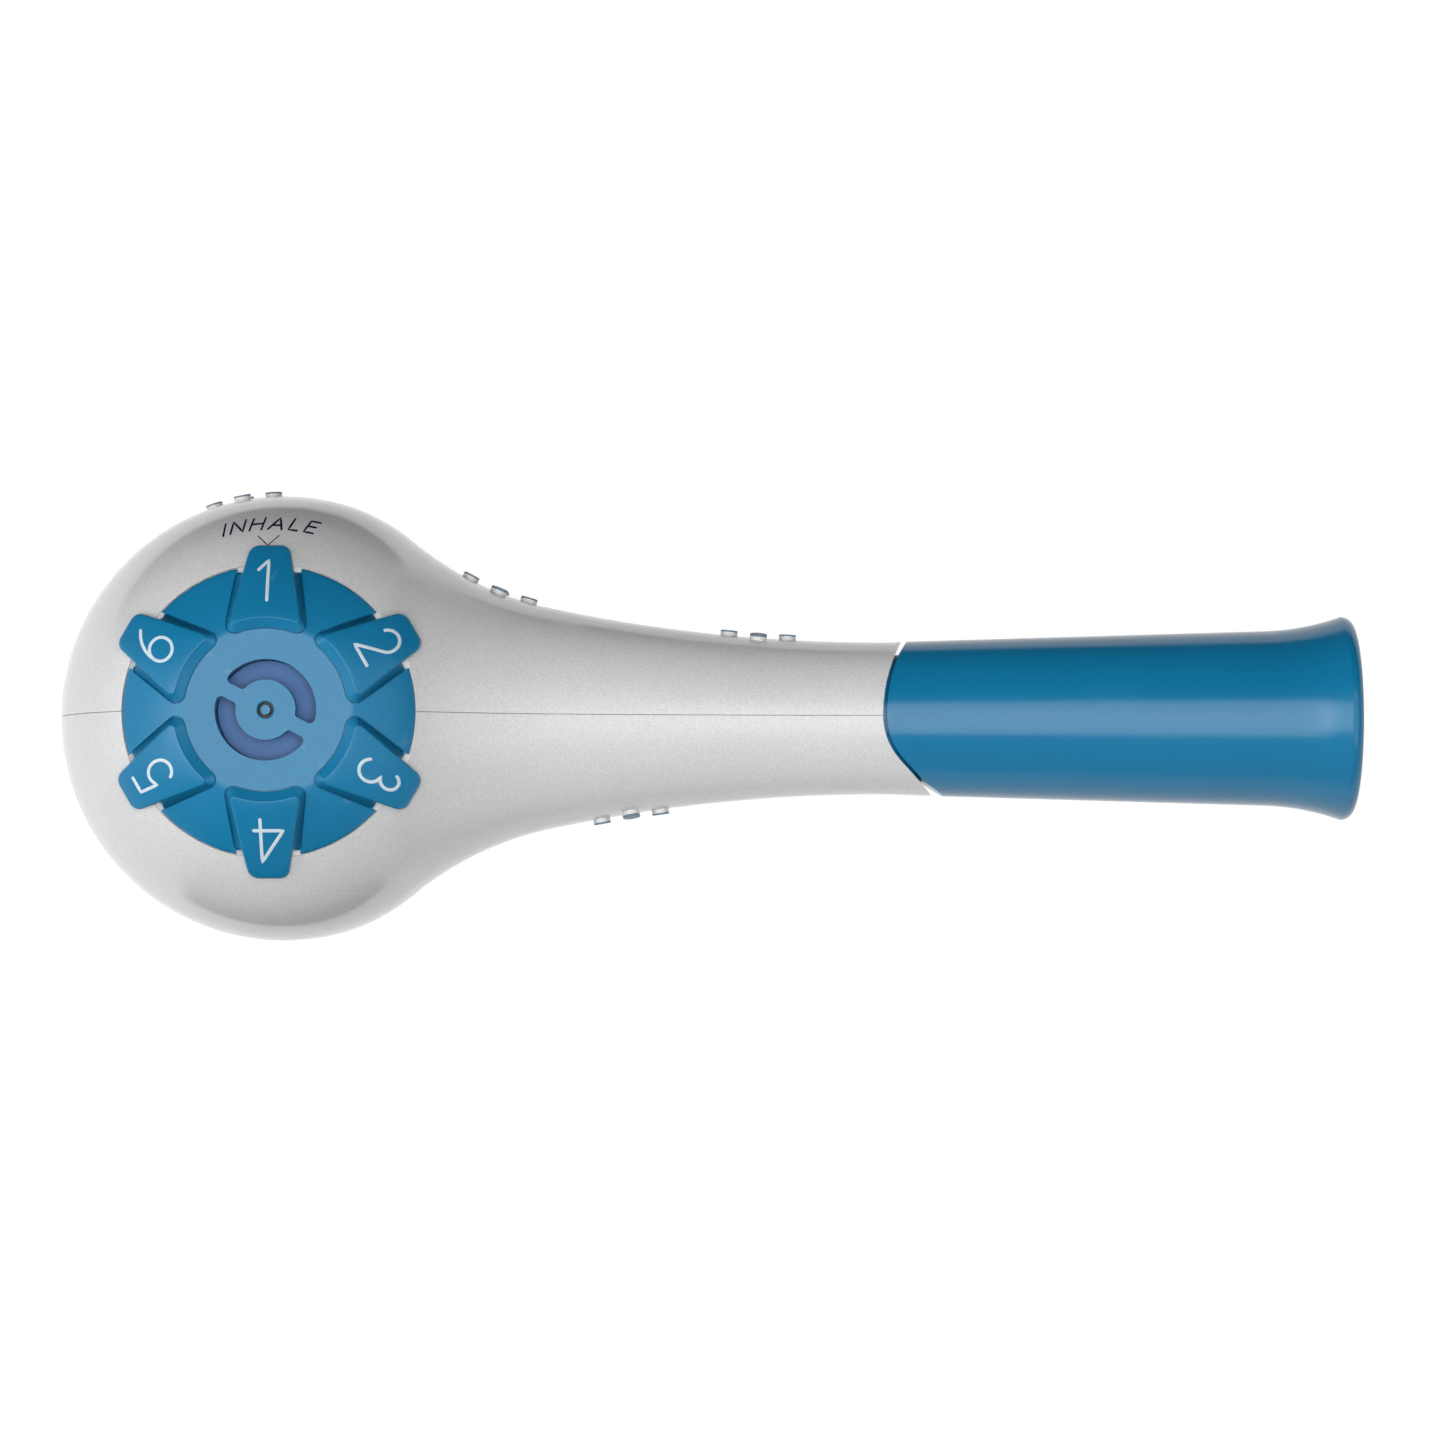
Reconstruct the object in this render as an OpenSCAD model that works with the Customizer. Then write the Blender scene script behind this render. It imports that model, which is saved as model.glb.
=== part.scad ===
// Handheld breathing trainer: a ball-shaped head with a resistance dial on each
// face, a tapering neck and a pull-off mouthpiece. The airway runs along X, with
// the origin in the middle of the mouth end. The dials turn about Z, the inhale
// dial on +Z, and the shells part on the XZ plane through both axes.

/* [Overall] */
// Length from the back of the head to the mouth end
overall_length = 152.1; // [148:0.1:165]
// Radius of the ball-shaped head
head_radius = 26.2; // [25.6:0.1:28]
// Radius of the rounded shoulder where the head runs into the neck
shoulder_radius = 22; // [20:0.5:24]
// Distance from the head centre to the waist, the narrowest place of the neck
waist_distance = 70; // [66:0.5:74]
// Outer radius at the waist
waist_radius = 8.97; // [8.9:0.05:10]
// Wall of the shells
shell_wall = 1.8; // [1.6:0.1:2]

/* [Mouthpiece] */
// Outer radius of the barrel where the lip flare begins
barrel_radius = 10.3; // [10.1:0.1:10.8]
// Length of the lip flare
flare_length = 9; // [6:0.5:12]
// Outer radius of the lip
lip_radius = 12; // [11.6:0.1:13]
// Rounding of the lip's edge
lip_edge = 1.4; // [1:0.1:1.8]
// Radius of the bore at the mouth
mouth_bore_radius = 8; // [7.4:0.05:8.1]
// Distance from the parting to the cone between the spigot's bore and the mouth's
bore_cone_distance = 9.4; // [8:0.2:20]
// Length of that cone
bore_cone_length = 6; // [3:0.5:9]
// Outer radius of the spigot that plugs into the neck
spigot_radius = 7.5; // [7.3:0.05:7.6]
// Radius of the bore through the spigot
spigot_bore_radius = 5.6; // [5:0.1:5.7]
// Length of the spigot
spigot_length = 14; // [10:0.5:16]
// Thickness of the seal ring on the spigot
seal_thickness = 1.2; // [1:0.1:1.3]

/* [Parting of neck and mouthpiece] */
// Distance from the head centre to the parting
parting_distance = 70.5; // [69:0.5:73]
// Radius of the gentle curve on the finger side of the parting
parting_upper_radius = 17.8; // [16:0.2:22]
// Radius of the tight curve on the thumb side of the parting
parting_lower_radius = 7.2; // [6:0.2:8]
// Slant of the straight run on the thumb side, in degrees
parting_slant = 44; // [40:1:48]
// Width of the visible joint line
joint_gap = 0.25; // [0.2:0.05:0.4]

/* [Dials] */
// Number of inhale settings
inhale_settings = 6; // [5:1:6]
// Number of exhale settings
exhale_settings = 5; // [5:1:6]
// Radius of a dial's rim
dial_radius = 16.6; // [16.4:0.1:17]
// Depth of a dial's flat centre below the crown of the head
dial_flat_drop = 1.9; // [1.7:0.1:2.1]
// Wall of a dial
dial_wall = 2; // [1.8:0.1:2.2]
// Width of a dial's rim from the pocket to the lip's edge
skirt_wall = 1.7; // [1.5:0.1:1.8]
// Reach of a tab beyond the rim
tab_overhang = 2.4; // [1.6:0.1:2.8]
// Height of the tabs above the head's ball surface
tab_height = 1; // [0.8:0.1:1.2]
// Radius of the arc that ends the tabs towards the centre
tab_inner_radius = 9.2; // [9:0.1:9.6]
// Width of a tab at its inner end
tab_inner_width = 7.9; // [7:0.1:8.2]
// Width of a tab at its outer end
tab_outer_width = 4.6; // [4:0.1:5.2]
// Inner radius of the two kidney slots
slot_inner_radius = 3.4; // [3.2:0.1:3.6]
// Outer radius of the two kidney slots
slot_outer_radius = 5.75; // [5.5:0.05:6]
// Width of the two spokes between the slots
spoke_width = 1.7; // [1.4:0.1:2.2]

/* [Airways in the head] */
// Rim of the orifice discs outside the orifices
orifice_disc_rim = 0.9; // [0.8:0.05:1.2]
// Step down in radius from one setting to the next, as a share of setting 1
orifice_step_share = 0.138; // [0.1:0.002:0.15]
// Thickness of the orifice discs
orifice_disc_thickness = 1.5; // [1.3:0.1:1.6]
// Thickness of the port plates
port_plate_thickness = 2.1; // [1.9:0.1:2.2]
// Radius of the spindles
spindle_radius = 1.2; // [1.1:0.05:1.3]
// Width by which the valve discs lap over their ports
valve_lap = 1.2; // [1:0.05:1.3]
// Lift of the valves when they open
valve_lift = 1; // [0.8:0.1:1]

/* [Grip studs] */
// Radius of a stud
stud_radius = 1; // [0.8:0.05:1.1]
// Height of the moulded stud without its cap
stud_height = 0.4; // [0.3:0.05:0.8]
// Thickness of the soft cap on a stud
stud_cap_height = 0.2; // [0.15:0.05:0.4]
// Pitch of the studs along the body
stud_pitch = 3.45; // [3:0.05:4]
// Distance of the paired studs from the middle line
stud_side_offset = 2; // [1.6:0.1:2.4]
// Distance from the head centre to the middle of the first finger's pad
first_finger_pad = -4.9; // [-7:0.1:-3]
// Distance from the head centre to the middle of the second finger's pad
second_finger_pad = 25.2; // [24:0.1:27]
// Distance from the head centre to the middle of the third finger's pad
third_finger_pad = 55.8; // [50:0.1:58]
// Distance from the head centre to the middle of the thumb's pad
thumb_pad = 40.8; // [37:0.1:46]

/* [Hidden] */
$fn = 72;

// Colours
shell_white = [0.87, 0.87, 0.88];
dial_blue = [0.09, 0.44, 0.62];
disc_violet = [0.31, 0.44, 0.6];
seal_blue = [0.16, 0.3, 0.42];
steel_grey = [0.62, 0.63, 0.65];
valve_clear = [0.8, 0.86, 0.9];

// Clearances
overrun = 1;
running_gap = 0.05;
fit_gap = 0.1;
dial_gap = 0.2;
tab_gap = 0.25;

// Tangent arcs of the outer form, in the plane of airway distance and radius.
// Each arc runs from one slope to the next: the ball down to the shoulder,
// the shoulder down to the steepest place, the flank, and the run to the waist.
shoulder_slope = 12;
steep_slope = 40;
waist_slope = 12;

function direction(slope) = [sin(slope), cos(slope)];

shoulder_centre = (head_radius - shoulder_radius) * direction(shoulder_slope);
// The flank and waist radii are the two unknowns of two linear equations: the
// waist has to lie at its own distance and at its own radius.
steep = direction(steep_slope);
gentle = direction(waist_slope);
open_distance = waist_distance - shoulder_centre[0] - shoulder_radius * steep[0];
open_radius = waist_radius - shoulder_centre[1] - shoulder_radius * steep[1];
determinant = (steep[0] - gentle[0]) * (gentle[1] - 1) - (steep[1] - gentle[1]) * gentle[0];
flank_radius = (open_distance * (gentle[1] - 1) - open_radius * gentle[0]) / determinant;
waist_arc_radius = ((steep[0] - gentle[0]) * open_radius - (steep[1] - gentle[1]) * open_distance)
    / determinant;
flank_centre = shoulder_centre + (shoulder_radius + flank_radius) * steep;
waist_centre = flank_centre + (waist_arc_radius - flank_radius) * gentle;

// Mouth end, measured from the head centre
mouth_distance = overall_length - head_radius;
lip_distance = mouth_distance - lip_edge;
flare_start = lip_distance - flare_length;
barrel_slope = atan((barrel_radius - waist_radius) / (flare_start - waist_distance));
flare_chord_slope = atan((lip_radius - barrel_radius) / flare_length);
flare_turn = 2 * (flare_chord_slope - barrel_slope);
flare_radius = norm([flare_length, lip_radius - barrel_radius]) / (2 * sin(flare_turn / 2));
flare_centre = [flare_start, barrel_radius] + flare_radius * [-sin(barrel_slope), cos(barrel_slope)];

// Stack of one face, measured outwards from the head centre
dial_flat_z = head_radius - dial_flat_drop;
dial_ceiling_z = dial_flat_z - dial_wall;
slot_air_height = 1.3;
least_boss_height = 2.6;
orifice_boss_top_z = dial_ceiling_z - slot_air_height;
port_seal_stand = 0.95;
skirt_stand = 0.55;
least_skirt_height = 3.2;
dial_rim_z = sqrt(head_radius * head_radius - dial_radius * dial_radius);
// The port plate lies deep enough for the orifice disc and for the dial's skirt
plate_top_z = min(
    orifice_boss_top_z - least_boss_height - orifice_disc_thickness - port_seal_stand,
    dial_rim_z - least_skirt_height - skirt_stand
);
plate_bottom_z = plate_top_z - port_plate_thickness;
orifice_disc_bottom_z = plate_top_z + port_seal_stand;
orifice_disc_top_z = orifice_disc_bottom_z + orifice_disc_thickness;
skirt_bottom_z = plate_top_z + skirt_stand;

// The dial's rim is a thin lip over a ledge in the well, which its notches show
notch_width = 0.95;
notch_depth = 0.6;
notch_under_tab = 0.5;
rim_lip_thickness = 0.7;
ledge_gap = 0.15;
ledge_thickness = 1.2;
rim_lip_bottom_z = dial_rim_z - rim_lip_thickness;
ledge_top_z = rim_lip_bottom_z - ledge_gap;
ledge_bottom_z = ledge_top_z - ledge_thickness;
ledge_radius = dial_radius - notch_depth;
skirt_radius = ledge_radius - ledge_gap;

// Widths of the well and its plate
well_radius = dial_radius + dial_gap;
plate_ledge = 0.7;
plate_radius = well_radius + plate_ledge;
well_wall = 1.4;
well_outer_radius = plate_radius + fit_gap + well_wall;
flange_thickness = 1.2;
flange_reach = 2.5;

// Orifice disc: it clears the click spring, and its orifices clear the dial's slots
skirt_inner_radius = dial_radius - skirt_wall;
click_spring_room = 2.3;
orifice_web = 0.15;
orifice_disc_radius = skirt_inner_radius - click_spring_room;
orifice_ring_width = orifice_disc_radius - orifice_disc_rim - slot_outer_radius - orifice_web;
largest_orifice_radius = orifice_ring_width / 2;
port_circle_radius = orifice_disc_radius - orifice_disc_rim - largest_orifice_radius;
orifice_boss_radius = port_circle_radius - largest_orifice_radius - 2 * fit_gap;
drive_peg_radius = 0.9;
drive_peg_circle = port_circle_radius - 1.3 * drive_peg_radius;
drive_peg_bottom_z = orifice_disc_bottom_z + orifice_disc_thickness / 4;

// Spindle, its bearing boss and its clip
bearing_boss_radius = 2.65 * spindle_radius;
bearing_boss_drop = 2.3;
bearing_boss_top_z = orifice_disc_bottom_z - fit_gap;
bearing_boss_bottom_z = plate_bottom_z - bearing_boss_drop;
clip_thickness = 0.6;
clip_radius = 2.1 * spindle_radius;
clip_top_z = bearing_boss_bottom_z - fit_gap;
spindle_tail = 0.5;
spindle_bottom_z = clip_top_z - clip_thickness - spindle_tail;
spindle_cover = 1.3;
spindle_shoulder_z = dial_flat_z - spindle_cover;
pip_radius = 0.55;
pip_hole_radius = 0.83;
pip_recess = 0.1;
dial_hub_radius = 2.2 * spindle_radius;

// Port and its seal
port_radius = largest_orifice_radius + dial_gap;
port_seal_inner_radius = port_radius + dial_gap;
port_seal_width = 1.1;
port_seal_outer_radius = port_seal_inner_radius + port_seal_width;
port_seal_sink = 0.4;

// Valve seat and valve
valve_radius = port_radius + valve_lap;
valve_thickness = 0.8;
seat_floor_thickness = 0.8;
seat_wall = 0.6;
seat_side_gap = 0.3;
seat_radius = valve_radius + seat_side_gap + seat_wall;
seat_chamber_depth = valve_thickness + valve_lift + 4 * fit_gap;
seat_floor_top_z = plate_bottom_z - seat_chamber_depth;
seat_floor_bottom_z = seat_floor_top_z - seat_floor_thickness;
valve_stem_radius = 0.85;
seat_hub_radius = 2 * valve_stem_radius;
seat_spoke_width = 0.9;
seat_window_margin = 0.4;
valve_bulb_radius = 1.15;
valve_bulb_height = 0.55;
seat_spokes = 4;

// Click spring on the port plate and its notches in the skirt
click_notch_depth = 0.4;
click_nose_radius = 0.6;
click_nose_centre = skirt_inner_radius + click_notch_depth - click_nose_radius - fit_gap;
click_strip_thickness = 0.3;
click_strip_radius = click_nose_centre - click_nose_radius + click_strip_thickness / 2;
click_strip_height = 2.4;
click_spread = 48;
click_post_turn = 44;
click_post_width = 1.2;
click_post_outer_radius = skirt_inner_radius - tab_gap;
click_bottom_z = plate_top_z + fit_gap;
click_top_z = click_bottom_z + click_strip_height;

// Tabs and slots of the dial
tab_corner = 0.5;
tab_outer_corner = 1.2;
tab_tip_radius = dial_radius + tab_overhang;
tab_root_rise = 0.6;
tab_root_z = skirt_bottom_z + tab_root_rise;
slot_outer_corner = 0.6;
slot_inner_corner = 0.4;
spoke_angle = 153;

// Socket in the neck and the stop behind the spigot
socket_radius = spigot_radius + running_gap;
spigot_start = parting_distance - spigot_length;
stop_width = 1.4;
stop_start = spigot_start - fit_gap - stop_width;
seal_groove_margin = 0.1;
seal_centre_radius = spigot_radius - seal_thickness / 2;
seal_distance = spigot_start + 2.5 * seal_thickness;

// Pins that line the two shells up
pin_radius = 1;
pin_length = 3;
pin_post_radius = 2;
pin_post_inset = 1.8;
neck_pin_distance = 36;

// Grip pads of the two sides
finger_pads = [first_finger_pad, second_finger_pad, third_finger_pad];
thumb_pads = [thumb_pad];

// Points on an arc from one angle to another
function arc_points(centre, radius, from, to, steps) = [
    for (i = [0 : steps])
        let (a = from + (to - from) * i / steps)
        centre + radius * [cos(a), sin(a)]
];

// One corner of an outline, rounded by an arc that touches both its sides
function rounded_corner(before, corner, after, radius, steps) =
    let (
        u = (before - corner) / norm(before - corner),
        v = (after - corner) / norm(after - corner),
        half = acos(u * v) / 2,
        middle = (u + v) / norm(u + v),
        centre = corner + middle * radius / sin(half),
        start = corner + u * radius / tan(half) - centre,
        end = corner + v * radius / tan(half) - centre,
        from = atan2(start[1], start[0]),
        turn = atan2(end[1], end[0]) - from,
        swing = turn > 180 ? turn - 360 : turn < -180 ? turn + 360 : turn
    )
    arc_points(centre, radius, from, from + swing, steps);

// Outline with its own rounding at each corner; a radius of 0 keeps the corner
function rounded_outline(corners, radii, steps) = [
    for (i = [0 : len(corners) - 1])
        let (n = len(corners))
        each (
            radii[i] == 0
                ? [corners[i]]
                : rounded_corner(corners[(i + n - 1) % n], corners[i], corners[(i + 1) % n], radii[i], steps)
        )
];

// Outer form from the back of the head to the waist, set inwards by a wall
function body_line(inset) = concat(
    arc_points([0, 0], head_radius - inset, 180, 90 - shoulder_slope, 17),
    arc_points(shoulder_centre, shoulder_radius - inset, 90 - shoulder_slope - 4, 90 - steep_slope, 6),
    arc_points(flank_centre, -flank_radius - inset, 90 - steep_slope + 4, 90 - waist_slope, 6),
    arc_points(waist_centre, -waist_arc_radius - inset, 90 - waist_slope + 2, 90, 5)
);

// Outer form from the waist to the mouth end
function barrel_line() = concat(
    arc_points(flare_centre, flare_radius, barrel_slope - 90, barrel_slope - 90 + flare_turn, 6),
    arc_points([lip_distance, lip_radius - lip_edge], lip_edge, 75, 0, 5)
);

// Place of a stud on the outer form: radius and lean of the surface at a distance
function arc_at(distance) =
    distance < head_radius * direction(shoulder_slope)[0] ? [[0, 0], head_radius]
    : distance < shoulder_centre[0] + shoulder_radius * steep[0] ? [shoulder_centre, shoulder_radius]
    : distance < flank_centre[0] - flank_radius * gentle[0] ? [flank_centre, -flank_radius]
    : [waist_centre, -waist_arc_radius];
function lean_at(distance) =
    let (arc = arc_at(distance))
    asin((distance - arc[0][0]) / arc[1]);
function radius_at(distance) =
    let (arc = arc_at(distance))
    arc[0][1] + arc[1] * cos(lean_at(distance));

// Frames: everything is drawn from the head centre and moved to the mouth end
module at_head() {
    translate([-mouth_distance, 0, 0]) children();
}

module on_face(outward) {
    at_head() mirror([0, 0, outward > 0 ? 0 : 1]) children();
}

module revolved_about_airway(line) {
    rotate([0, 90, 0]) rotate_extrude() polygon([for (p = line) [p[1], p[0]]]);
}

module disc(radius, low, high) {
    translate([0, 0, low]) cylinder(r = radius, h = high - low);
}

module airway_disc(radius, low, high) {
    rotate([0, 90, 0]) disc(radius, low, high);
}

module at_port() {
    translate([0, port_circle_radius, 0]) children();
}

module outer_form() {
    revolved_about_airway(concat(body_line(0), barrel_line(), [[mouth_distance, 0]]));
}

module body_hollow() {
    revolved_about_airway(concat(body_line(shell_wall), [[waist_distance, 0]]));
}

// Everything on the mouth side of the curved parting, grown by a gap
module mouth_side(grow) {
    upper_turn = asin((waist_radius + overrun) / parting_upper_radius);
    upper_centre = [parting_distance + parting_upper_radius, 0];
    lower_centre = [parting_distance + parting_lower_radius, 0];
    lower_end = lower_centre
        - (parting_lower_radius + grow) * [cos(parting_slant), sin(parting_slant)];
    far = lip_distance + lip_edge + overrun;
    linear_extrude(height = 2 * head_radius, center = true)
        polygon(concat(
            [[far, 2 * lip_radius]],
            [[upper_centre[0], 2 * lip_radius]],
            arc_points(upper_centre, parting_upper_radius + grow, 180 - upper_turn, 180, 8),
            arc_points(lower_centre, parting_lower_radius + grow, 185, 180 + parting_slant, 6),
            [lower_end + 2 * waist_radius * [sin(parting_slant), -cos(parting_slant)]],
            [[far, -2 * waist_radius]]
        ));
}

// Studs of one grip pad: one before, one behind and a pair between them
module stud_places(pads, side) {
    for (pad = pads) {
        for (place = [[-1, 0], [1, 0], [0, -1], [0, 1]]) {
            distance = pad + place[0] * stud_pitch;
            turn = place[1] * stud_side_offset / radius_at(distance) * 180 / PI;
            rotate([turn + (side > 0 ? 0 : 180), 0, 0])
                translate([distance, radius_at(distance), 0])
                rotate([0, 0, -lean_at(distance)])
                rotate([-90, 0, 0])
                children();
        }
    }
}

// Places of the pins: one at the back of the head and two in the neck, by the wall
module pin_places() {
    inset = shell_wall + pin_post_inset;
    places = concat(
        [[inset - head_radius, 0, 0]],
        [for (way = [-1, 1]) [neck_pin_distance, 0, way * (radius_at(neck_pin_distance) - inset)]]
    );
    for (place = places) {
        translate(place) rotate([-90, 0, 0]) children();
    }
}

module well_tubes() {
    for (outward = [0, 1]) {
        mirror([0, 0, outward])
            disc(well_outer_radius, plate_bottom_z - fit_gap / 2 - flange_thickness, head_radius);
    }
}

module well_cuts() {
    for (outward = [0, 1]) {
        mirror([0, 0, outward]) {
            difference() {
                disc(well_radius, plate_bottom_z, head_radius + overrun);
                difference() {
                    disc(well_radius + overrun, ledge_bottom_z, ledge_top_z);
                    disc(ledge_radius, 0, head_radius);
                }
            }
            disc(plate_radius + fit_gap, plate_bottom_z - fit_gap / 2, plate_top_z + fit_gap / 2);
            disc(plate_radius - flange_reach, 0, plate_top_z);
        }
    }
}

// One of the two half shells; side is 1 for the finger side and -1 for the thumb side
module half_shell(side, pads) {
    at_head() difference() {
        union() {
            difference() {
                outer_form();
                body_hollow();
                airway_disc(socket_radius, spigot_start - fit_gap, mouth_distance + overrun);
            }
            intersection() {
                outer_form();
                well_tubes();
            }
            intersection() {
                outer_form();
                pin_places()
                    translate([0, 0, -head_radius])
                    cylinder(r = pin_post_radius, h = 2 * head_radius);
            }
            difference() {
                airway_disc(waist_radius, stop_start, spigot_start - fit_gap);
                airway_disc(spigot_bore_radius, stop_start - overrun, spigot_start + overrun);
            }
            stud_places(pads, side)
                translate([0, 0, -stud_height])
                cylinder(r = stud_radius, h = 2 * stud_height);
        }
        well_cuts();
        mouth_side(joint_gap);
        if (side > 0) {
            pin_places()
                cylinder(r = pin_radius + running_gap, h = pin_length + 2 * fit_gap);
        }
        translate([-overall_length, side > 0 ? -overall_length : 0, -overall_length])
            cube([2 * overall_length, overall_length, 2 * overall_length]);
    }
}

module finger_side_shell() {
    color(shell_white) half_shell(1, finger_pads);
}

module thumb_side_shell() {
    color(shell_white) {
        half_shell(-1, thumb_pads);
        at_head() pin_places() cylinder(r = pin_radius, h = pin_length);
    }
}

module grip_caps(pads, side) {
    color(dial_blue)
        at_head()
        stud_places(pads, side)
        translate([0, 0, stud_height])
        cylinder(r = stud_radius, h = stud_cap_height);
}

module finger_grip_caps() {
    grip_caps(finger_pads, 1);
}

module thumb_grip_caps() {
    grip_caps(thumb_pads, -1);
}

module mouthpiece() {
    cone_start = parting_distance + bore_cone_distance;
    bore_start = cone_start + bore_cone_length;
    groove_half = seal_thickness / 2 + seal_groove_margin;
    color(dial_blue) at_head() difference() {
        union() {
            intersection() {
                outer_form();
                mouth_side(0);
            }
            airway_disc(spigot_radius, spigot_start, parting_distance + parting_lower_radius);
        }
        airway_disc(spigot_bore_radius, spigot_start - overrun, mouth_distance);
        translate([cone_start, 0, 0])
            rotate([0, 90, 0])
            cylinder(r1 = spigot_bore_radius, r2 = mouth_bore_radius, h = bore_cone_length);
        airway_disc(mouth_bore_radius, bore_start, mouth_distance + overrun);
        difference() {
            airway_disc(spigot_radius + overrun, seal_distance - groove_half, seal_distance + groove_half);
            airway_disc(
                spigot_radius - seal_thickness - running_gap,
                seal_distance - groove_half - overrun,
                seal_distance + groove_half + overrun
            );
        }
    }
}

module mouthpiece_seal() {
    color(seal_blue) at_head() translate([seal_distance, 0, 0]) rotate([0, 90, 0])
        rotate_extrude() translate([seal_centre_radius, 0]) circle(r = seal_thickness / 2, $fn = 24);
}

// Outline of the tab that points along +Y
function tab_outline() =
    let (
        inner = tab_inner_width / 2,
        outer = tab_outer_width / 2,
        half_angle = asin(inner / tab_inner_radius),
        inner_edge = arc_points([0, 0], tab_inner_radius, 90 - half_angle, 90 + half_angle, 4),
        corners = concat(inner_edge, [[-outer, tab_tip_radius], [outer, tab_tip_radius]])
    )
    rounded_outline(
        corners,
        [tab_corner, 0, 0, 0, tab_corner, tab_outer_corner, tab_outer_corner],
        4
    );

// Outline of one kidney slot, whose ends run alongside the two spokes
function slot_outline() =
    let (
        half = spoke_width / 2,
        inner_trim = asin(half / slot_inner_radius),
        outer_trim = asin(half / slot_outer_radius),
        outer_edge = arc_points([0, 0], slot_outer_radius, outer_trim, 180 - outer_trim, 14),
        inner_edge = arc_points([0, 0], slot_inner_radius, 180 - inner_trim, inner_trim, 10),
        outer_count = len(outer_edge),
        count = outer_count + len(inner_edge)
    )
    rounded_outline(
        concat(outer_edge, inner_edge),
        [
            for (i = [0 : count - 1])
                i == 0 || i == outer_count - 1 ? slot_outer_corner
                    : i == outer_count || i == count - 1 ? slot_inner_corner : 0
        ],
        4
    );

module dial_body(settings) {
    difference() {
        intersection() {
            sphere(r = head_radius);
            union() {
                disc(dial_radius, rim_lip_bottom_z, dial_flat_z);
                disc(skirt_radius, skirt_bottom_z, dial_flat_z);
            }
        }
        rim_notches(settings);
    }
    intersection() {
        sphere(r = head_radius + tab_height);
        union() {
            for (i = [0 : settings - 1]) {
                rotate([0, 0, -i * 360 / settings]) dial_tab();
            }
        }
    }
}

// A tab is solid over the dial and clears the shells beyond the rim
module dial_tab() {
    difference() {
        translate([0, 0, tab_root_z])
            linear_extrude(height = head_radius + tab_height - tab_root_z)
            polygon(tab_outline());
        difference() {
            sphere(r = head_radius + tab_gap);
            disc(dial_radius - notch_depth / 2, dial_rim_z - rim_lip_thickness / 2, 2 * head_radius);
            disc(skirt_radius - notch_depth / 2, 0, 2 * head_radius);
        }
    }
}

// Notches in the rim on both sides of each tab, which start a little way under it
module rim_notches(settings) {
    taper = (tab_inner_width - tab_outer_width) / 2 / (tab_tip_radius - tab_inner_radius);
    tab_half = tab_outer_width / 2 + taper * tab_overhang;
    width = notch_width + notch_under_tab;
    for (i = [0 : settings - 1], way = [-1, 1]) {
        turn = asin((tab_half - notch_under_tab + width / 2) / dial_radius);
        rotate([0, 0, -i * 360 / settings + way * turn])
            translate([-width / 2, ledge_radius, skirt_bottom_z - overrun])
            cube([width, notch_depth + overrun, head_radius]);
    }
}

// Angle of a drive peg, half way between two settings
function peg_angle(settings, i) = 90 + (i * floor(settings / 2) + 0.5) * 360 / settings;

module drive_peg_places(settings) {
    for (i = [0, 1]) {
        rotate([0, 0, peg_angle(settings, i)]) translate([drive_peg_circle, 0, 0]) children();
    }
}

module resistance_dial(settings) {
    color(dial_blue) difference() {
        union() {
            difference() {
                dial_body(settings);
                intersection() {
                    sphere(r = head_radius - 0.9 * dial_wall);
                    disc(skirt_inner_radius, skirt_bottom_z - overrun, dial_ceiling_z);
                }
                for (i = [0 : settings - 1]) {
                    rotate([0, 0, -90 - i * 360 / settings])
                        translate([skirt_inner_radius + click_notch_depth - click_nose_radius, 0, 0])
                        disc(
                            click_nose_radius + running_gap,
                            skirt_bottom_z - overrun,
                            click_top_z + fit_gap
                        );
                }
                for (turn = [0, 180]) {
                    rotate([0, 0, spoke_angle + turn])
                        translate([0, 0, dial_ceiling_z - overrun])
                        linear_extrude(height = dial_wall + 2 * overrun)
                        polygon(slot_outline());
                }
            }
            disc(dial_hub_radius, orifice_boss_top_z + fit_gap, dial_ceiling_z + dial_wall / 2);
            drive_peg_places(settings)
                disc(drive_peg_radius, drive_peg_bottom_z, dial_ceiling_z + dial_wall / 4);
        }
        disc(spindle_radius, 0, spindle_shoulder_z);
        disc(pip_hole_radius, 0, head_radius);
    }
}

module orifice_disc(settings) {
    color(disc_violet) difference() {
        union() {
            disc(orifice_disc_radius, orifice_disc_bottom_z, orifice_disc_top_z);
            disc(orifice_boss_radius, orifice_disc_bottom_z, orifice_boss_top_z);
        }
        disc(spindle_radius, 0, head_radius);
        for (i = [0 : settings - 1]) {
            rotate([0, 0, -i * 360 / settings])
                at_port()
                disc(largest_orifice_radius * (1 - i * orifice_step_share), 0, head_radius);
        }
        drive_peg_places(settings) disc(drive_peg_radius + running_gap, 0, head_radius);
    }
}

module spindle() {
    color(steel_grey) {
        disc(spindle_radius, spindle_bottom_z, spindle_shoulder_z);
        disc(pip_radius, spindle_shoulder_z, dial_flat_z - pip_recess);
    }
}

module spindle_clip() {
    color(steel_grey) difference() {
        disc(clip_radius, clip_top_z - clip_thickness, clip_top_z);
        disc(spindle_radius, 0, head_radius);
    }
}

module port_plate() {
    color(shell_white) difference() {
        union() {
            disc(plate_radius, plate_bottom_z, plate_top_z);
            disc(bearing_boss_radius, bearing_boss_bottom_z, bearing_boss_top_z);
            for (way = [-1, 1]) {
                rotate([0, 0, way * click_post_turn]) click_post();
            }
        }
        disc(spindle_radius + running_gap, 0, head_radius);
        at_port() disc(port_radius, 0, head_radius);
        at_port() disc(port_seal_outer_radius + running_gap, plate_top_z - port_seal_sink, head_radius);
        click_slot();
    }
}

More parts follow.
